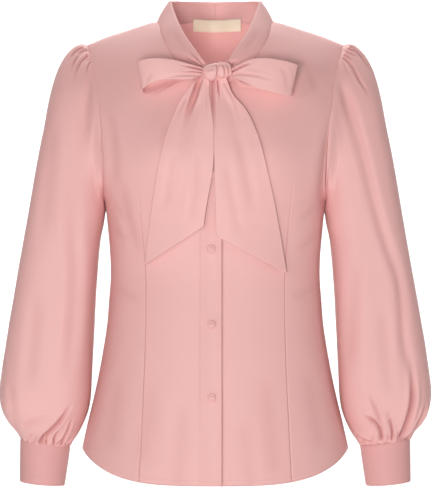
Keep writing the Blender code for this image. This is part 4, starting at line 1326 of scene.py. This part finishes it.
# x, y, top, bottom, slant
loopRightRows = [
    (-12.6, -111, -71.2, -78, 0), (-20, -113.6, -69, -80, 0), (-32, -117, -65.5, -85, 0),
    (-48, -121, -61, -85.4, 0), (-65, -122.5, -58, -85.8, 0.5), (-82, -120.5, -57.2, -88.5, 1.5),
    (-94, -116, -59, -94, 2.5), (-100.2, -110.5, -61, -98, 3), (-100.2, -104.5, -62, -100.5, 3),
    (-94, -99.5, -62.5, -103.5, 2), (-82, -97.5, -62.5, -103, 1), (-65, -97, -64, -95.5, 0),
    (-48, -98, -66.5, -86.5, 0), (-32, -101, -69, -82, 0), (-20, -104.6, -70, -79.5, 0),
    (-12.6, -107, -71.2, -78, 0),
]
loopLeftRows = [
    (18.6, -111, -71.2, -78, 0), (25, -114, -68.5, -81.5, 0), (33, -117, -64.5, -88.5, 0),
    (46, -121, -59, -94.2, 0), (62, -123.5, -57.2, -98.8, -1), (80, -122.5, -59, -103.2, -2.5),
    (95, -117.5, -62, -105.6, -4), (104.7, -110.5, -65, -106.5, -4.5), (104.7, -104.5, -65.5, -106.5, -4.5),
    (95, -99.5, -66, -105, -3), (80, -97.5, -65.5, -102, -1), (62, -97, -65, -97, 0),
    (46, -98, -66, -95.4, 0), (33, -100.5, -68.5, -94, 0), (25, -104.2, -70, -87.5, 0),
    (18.6, -107, -71.2, -78, 0),
]
loop = {
    "columns": 130,
    "rows": 34,
    "wall": 1,
    "crown": 1.6,
    "ripple": 0.5,
}


def loopPoint(table, across, up):
    x, y, top, bottom, slant = rowAt(table, across * (len(table) - 1))
    down = 1 - up
    outward = -math.cos(math.pi * across)
    crown = loop["crown"] * 4 * down * (1 - down) * math.sin(math.pi * across)
    return Vector((x + slant * (2 * down - 1), y + crown * outward, mix(top, bottom, down)))


loopFolds = [
    makeFold(-118, 1.4, 2, [(202, 75.5), (190, 74.5), (174, 76), (160, 79)], start=0.05, end=0.6),
    creaseShade(-118, 2.2, 1.3, [(203, 69.3), (195, 67.6), (188, 66.4), (179, 64.6)], 0.02, 0.6),
    makeFold(-118, 1.4, 1.2, [(203, 72.4), (193, 71.6), (184, 72), (172, 74)],
             start=0.02, end=0.7, sharp=1.5),
    makeFold(-118, 1.4, 1.3, [(203, 79), (195, 80.6), (186, 80.2)], start=0.02, end=0.5, sharp=1.5),
    makeFold(-118, 0.6, 3, [(152, 73), (147, 80), (146, 90)]),
    creaseShade(-118, 3, 1.3, [(231, 71.6), (236, 69.2), (245, 65), (251, 63)], 0.02, 0.5),
    makeFold(-118, 1.2, 2, [(231, 73.4), (246, 74), (262, 77), (276, 81)], start=0.02, end=0.6),
    makeFold(-118, 1.8, 1.5, [(229, 77.5), (238, 80.5), (248, 84.5), (258, 89)],
             start=0.02, end=0.6, sharp=1.5),
    makeFold(-118, 0.5, 3.4, [(280, 66), (286, 76), (287, 90)]),
    # Painted shade inside the eye of the right loop, on the cloth that faces back
    makeFold(-100, 0, 8, [(138, 89), (150, 90), (166, 85), (184, 80)],
             start=0, end=0.2, facing=1, tint=0.85),
]


def makeLoops():
    for name, table, area, node in (
        ("bowLoopRight", loopRightRows, 0.0056, "bow_loop_right"),
        ("bowLoopLeft", loopLeftRows, 0.0067, "bow_loop_left"),
    ):
        strip = clothGrid(loop["columns"], loop["rows"], lambda a, u: loopPoint(table, a, u), 190, 44)
        if table is loopRightRows:
            bmesh.ops.reverse_faces(strip, faces=strip.faces)
        pressFolds(strip, loopFolds, loop["ripple"])
        finishCloth(strip, name, tieCrepe, loop["wall"],
                    [node])


# outer x, outer z, inner x, inner z, lift at the outer edge, lift at the inner edge, fold
tailRightRows = [
    (-15.5, -76, -8, -79, 20, 18.5, 0.5), (-31.5, -92, -8.2, -92, 13.5, 18, 3),
    (-43.4, -107.3, -8.4, -102, 11, 17, 4.5), (-53.1, -125.6, -5.6, -120.4, 8.5, 14.5, 4.5),
    (-61.6, -147, -2.9, -141.7, 6.5, 12, 3.5), (-69.3, -171.5, -1.6, -165.5, 5, 10.5, 2.5),
    (-75, -197.4, -2, -189.4, 4.5, 9.6, 1.6), (-80.6, -226.6, -4, -212, 4.5, 8.4, 1.2),
    (-85.2, -254.5, -8, -234.5, 5.5, 8.4, 0.8), (-89.9, -287.7, -11.8, -255.8, 7, 9, 0.5),
    (-94.8, -331.5, -15.5, -280.6, 9.5, 10.5, 0.3),
]
tailLeftRows = [
    (14, -79, -7, -79.5, 18, 13.5, 0), (22.5, -103, -9.5, -96.5, 13, 12.5, 1.5),
    (37.3, -120.1, -10, -109.8, 10, 11, 2), (46.9, -135, -8, -127, 8, 9.8, 2),
    (54.8, -153.6, -5, -147, 6.5, 9.2, 1.6), (61.6, -173.5, -2.6, -168.2, 5, 9, 1.2),
    (67.4, -197.4, -1.2, -189.4, 4.5, 9, 0.8), (73.8, -224, -0.8, -213.3, 4.5, 9, 0.6),
    (80.5, -253.2, -0.4, -238.5, 5.5, 9, 0.5), (88, -293, 0.4, -263.8, 7, 9.2, 0.4),
    (96.2, -342.6, 1, -293, 10, 10.5, 0.3),
]
tail = {
    "columns": 70,
    "rows": 150,
    "wall": 1,
    "foldAt": 0.42,
    "foldWidth": 0.17,
    "ripple": 0.7,
}


def tailPoint(table, across, down):
    row = rowAt(table, down * (len(table) - 1))
    x, z = mix(row[0], row[2], across), mix(row[1], row[3], across)
    lift = mix(row[4], row[5], ease(across))
    lift -= row[6] * hump(across - tail["foldAt"], tail["foldWidth"])
    return Vector((x, formY(x, z, "front") - lift, z))


tailRightFolds = [
    makeFold(-112, 4.7, 3.2, [(201, 74), (197.5, 85), (194, 97), (189.7, 108), (186, 120), (181, 142)],
             start=0, end=0.7, ridge=0.4, sharp=1.6, tint=0.6),
    makeFold(-112, 0.9, 2.4, [(208.5, 84), (207, 100), (206, 122)], start=0.1, end=0.6, ridge=0.5),
    makeFold(-112, 0.8, 2.4, [(187, 96), (181, 107), (176, 120)], start=0.2, end=0.5),
    makeFold(-110, 0.9, 6, [(176, 150), (170, 180), (164, 214)]),
    makeFold(-110, 0.8, 6, [(198, 150), (196, 190), (190, 226)]),
]
tailLeftFolds = [
    makeFold(-112, 1.8, 2.8, [(212.6, 80), (212.4, 92), (213.6, 112), (216, 135)],
             start=0, end=0.6, ridge=0.9, sharp=1.6),
    makeFold(-112, 2.6, 1.3, [(217.6, 80), (218.4, 88), (220.4, 99)], start=0, end=0.5, sharp=1.5),
    makeFold(-112, 1.6, 2.4, [(224, 82), (230, 92), (236, 106), (241, 124)], start=0.05, end=0.6),
    makeFold(-110, 1, 6, [(236, 130), (246, 170), (254, 214)]),
    makeFold(-110, 0.8, 6.5, [(224, 160), (232, 200), (240, 240)]),
]


def makeTails():
    for name, table, folds, node in (
        ("tieTailRight", tailRightRows, tailRightFolds, "tie_tail_right"),
        ("tieTailLeft", tailLeftRows, tailLeftFolds, "tie_tail_left"),
    ):
        strip = clothGrid(tail["columns"], tail["rows"], lambda a, u: tailPoint(table, a, 1 - u), 100, 255)
        if table is tailLeftRows:
            bmesh.ops.reverse_faces(strip, faces=strip.faces)
        pressFolds(strip, folds, tail["ripple"])
        finishCloth(strip, name, tieCrepe, tail["wall"],
                    [node])


makeKnot()
makeLoops()
makeTails()
print("blouse: bow made")

# Covered buttons

# radius share, height share of the dome, then its foot
buttonProfile = [
    (0, 1), (0.18, 0.99), (0.34, 0.94), (0.46, 0.84), (0.53, 0.70), (0.60, 0.64), (0.68, 0.70), (0.77, 0.79),
    (0.87, 0.79), (0.96, 0.68), (1, 0.52), (0.97, 0.36), (0.86, 0.26), (0.6, 0.22), (0.42, 0.18), (0.40, 0),
    (0, 0),
]


def makeButton(name, node, foot, outward):
    across = outward.cross(Vector((0, 0, 1))).normalized()
    above = across.cross(outward).normalized()
    bm = bmesh.new()
    line = []
    for radius, height in buttonProfile:
        reach = foot + across * (button["radius"] * radius) + outward * (button["height"] * height)
        line.append(bm.verts.new(reach * mm))
    edges = [bm.edges.new(pair) for pair in zip(line, line[1:])]
    bmesh.ops.spin(bm, geom=line + edges, cent=foot * mm, axis=outward, angle=2 * math.pi, steps=40,
                   use_merge=True)
    bmesh.ops.remove_doubles(bm, verts=bm.verts, dist=0.00001)
    bmesh.ops.recalc_face_normals(bm, faces=bm.faces)
    pick = random.Random(name)
    for vert in bm.verts:
        away = vert.co / mm - foot
        side, rise = away.dot(across), away.dot(above)
        turn = math.atan2(rise, side)
        rim = ease(math.hypot(side, rise) / button["radius"])
        vert.co += vert.normal * (0.12 * rim * math.sin(9 * turn + pick.random() * 0.2) * mm)
    finishCloth(bm, name, plainCrepe, 0, nodes=[node])


def makeButtons():
    for number, place in enumerate(button["places"]):
        z = button["top"] - button["pitch"] * number + place
        outward = formNormal(button["x"], z, "front")
        foot = onForm(button["x"], z, "front", placketLift(button["x"]) + button["gap"])
        makeButton(f"frontButton{number + 1}", f"button_{number + 1}", foot, outward)
    # The cuff's button lies near the end of the lap, half way up it
    share, earlier = 1 - 1 / 36, 1 - 2 / 36
    lower, upper = cuffPoint(share, 1 / 3), cuffPoint(share, 2 / 3)
    middle = (lower + upper) / 2
    before = (cuffPoint(earlier, 1 / 3) + cuffPoint(earlier, 2 / 3)) / 2
    above = (lower - upper).normalized()
    outward = above.cross((middle - before).normalized()).normalized()
    if outward.y < 0:
        outward = -outward
    foot = middle + outward * button["gap"]
    makeButton("cuffButtonLeft", "cuff_button_left", foot, outward)
    flip = Vector((-1, 1, 1))
    makeButton("cuffButtonRight", "cuff_button_right", foot * flip, outward * flip)


makeButtons()
print("blouse: buttons made")

# Neck label, left blank

label = {
    "left": -31,
    "right": 36,
    "top": 11.8,
    "bottom": -5.4,
    "wall": 0.6,
    "light": (0.86, 0.77, 0.60, 1),
    "deep": (0.80, 0.70, 0.53, 1),
}


def labelPoint(across, up):
    x = mix(label["left"], label["right"], across)
    z = mix(label["bottom"], label["top"], up)
    seam = formY(x, readAt(backNeckline, abs(x), 1), "back")
    y = seam - 3.9 + 2.6 * (1 - up) ** 2
    return Vector((x, y - 0.3 * hump(up - 0.5, 0.4), z))


def makeLabel():
    tab = clothGrid(60, 18, labelPoint, 68, 18.5)
    woven = makeClothMaterial("creamLabel", [("v", 0.0012), ("v", 0.0173), ("u", 0.0012), ("u", 0.0668)],
                              light=label["light"], deep=label["deep"], grain=1.6)
    finishCloth(tab, "neckLabel", woven, -label["wall"],
                ["neck_label"])


makeLabel()
print("blouse: label made")

# Floor, light and camera

stage = {
    "floorZ": -1.42,
    "bendFrom": 1.4,
    "bend": 1.2,
    "colour": (0.92, 0.92, 0.92, 1),
    "worldStrength": 0.44,
    "worldOverhead": 0.03,
    "cameraX": 0.0004,
    "cameraZ": -0.3036,
    "cameraDistance": 3,
    "lens": 160.4,
}


def makeStage():
    # The floor bends up into a wall behind
    bend = stage["bend"]
    bm = bmesh.new()
    bmesh.ops.create_grid(bm, x_segments=40, y_segments=60, size=1)
    for vert in bm.verts:
        x, y = vert.co.x * 6, vert.co.y * 6
        rise = max(0, y - stage["bendFrom"])
        turn = min(rise / bend, math.pi / 2)
        height = bend * (1 - math.cos(turn)) + max(0, rise - bend * math.pi / 2)
        reach = min(y, stage["bendFrom"]) + bend * math.sin(turn)
        vert.co = Vector((x, reach, stage["floorZ"] + height))
    material = bpy.data.materials.new("palePaper")
    material.use_nodes = True
    shader = material.node_tree.nodes["Principled BSDF"]
    shader.inputs["Base Color"].default_value = stage["colour"]
    shader.inputs["Roughness"].default_value = 0.9
    floor = makeObject(bm, "studioFloor", material)
    world = bpy.data.worlds.new("softRoom")
    world.use_nodes = True
    world.node_tree.nodes["Background"].inputs["Color"].default_value = (1, 1, 1, 1)
    # The room is dimmer overhead
    tree = world.node_tree
    places = tree.nodes.new("ShaderNodeTexCoord")
    split = tree.nodes.new("ShaderNodeSeparateXYZ")
    tree.links.new(places.outputs["Generated"], split.inputs["Vector"])
    overhead = rangeNode(tree, split.outputs["Z"], -0.1, 0.6, stage["worldStrength"], stage["worldOverhead"])
    tree.links.new(overhead, tree.nodes["Background"].inputs["Strength"])
    bpy.context.scene.world = world
    bpy.context.scene.view_settings.view_transform = "Standard"


# place, aim, size, power
lamps = {
    "key": ((-1.7, -2.6, -0.15), (0, 0, -0.25), 0.35, 9),
    "front": ((-0.2, -2.2, -0.4), (0, 0, -0.28), 0.45, 27.8),
    "side": ((2.5, -1, -0.2), (0.1, 0, -0.28), 0.6, 7),
    "inside": ((0, -0.06, -0.20), (0, 0.09, -0.01), 0.06, 0.13),
    "backdrop": ((0, 1, 1.6), (0, 2.6, -0.3), 2, 104),
}


def makeLights():
    for name, (place, aim, size, power) in lamps.items():
        light = bpy.data.lights.new(name, "AREA")
        light.size = size
        light.energy = power
        lamp = bpy.data.objects.new(name, light)
        lamp.location = place
        lamp.visible_camera = False
        lamp.rotation_euler = (Vector(aim) - Vector(place)).to_track_quat("-Z", "Y").to_euler()
        bpy.context.scene.collection.objects.link(lamp)


def makeCamera():
    camera = bpy.data.cameras.new("camera")
    camera.lens = stage["lens"]
    camera.sensor_width = 36
    camera.clip_end = 60
    view = bpy.data.objects.new("camera", camera)
    view.location = (stage["cameraX"], -stage["cameraDistance"], stage["cameraZ"])
    view.rotation_euler = (math.pi / 2, 0, 0)
    bpy.context.scene.collection.objects.link(view)
    bpy.context.scene.camera = view


makeStage()
makeLights()
makeCamera()
print("blouse: stage made")
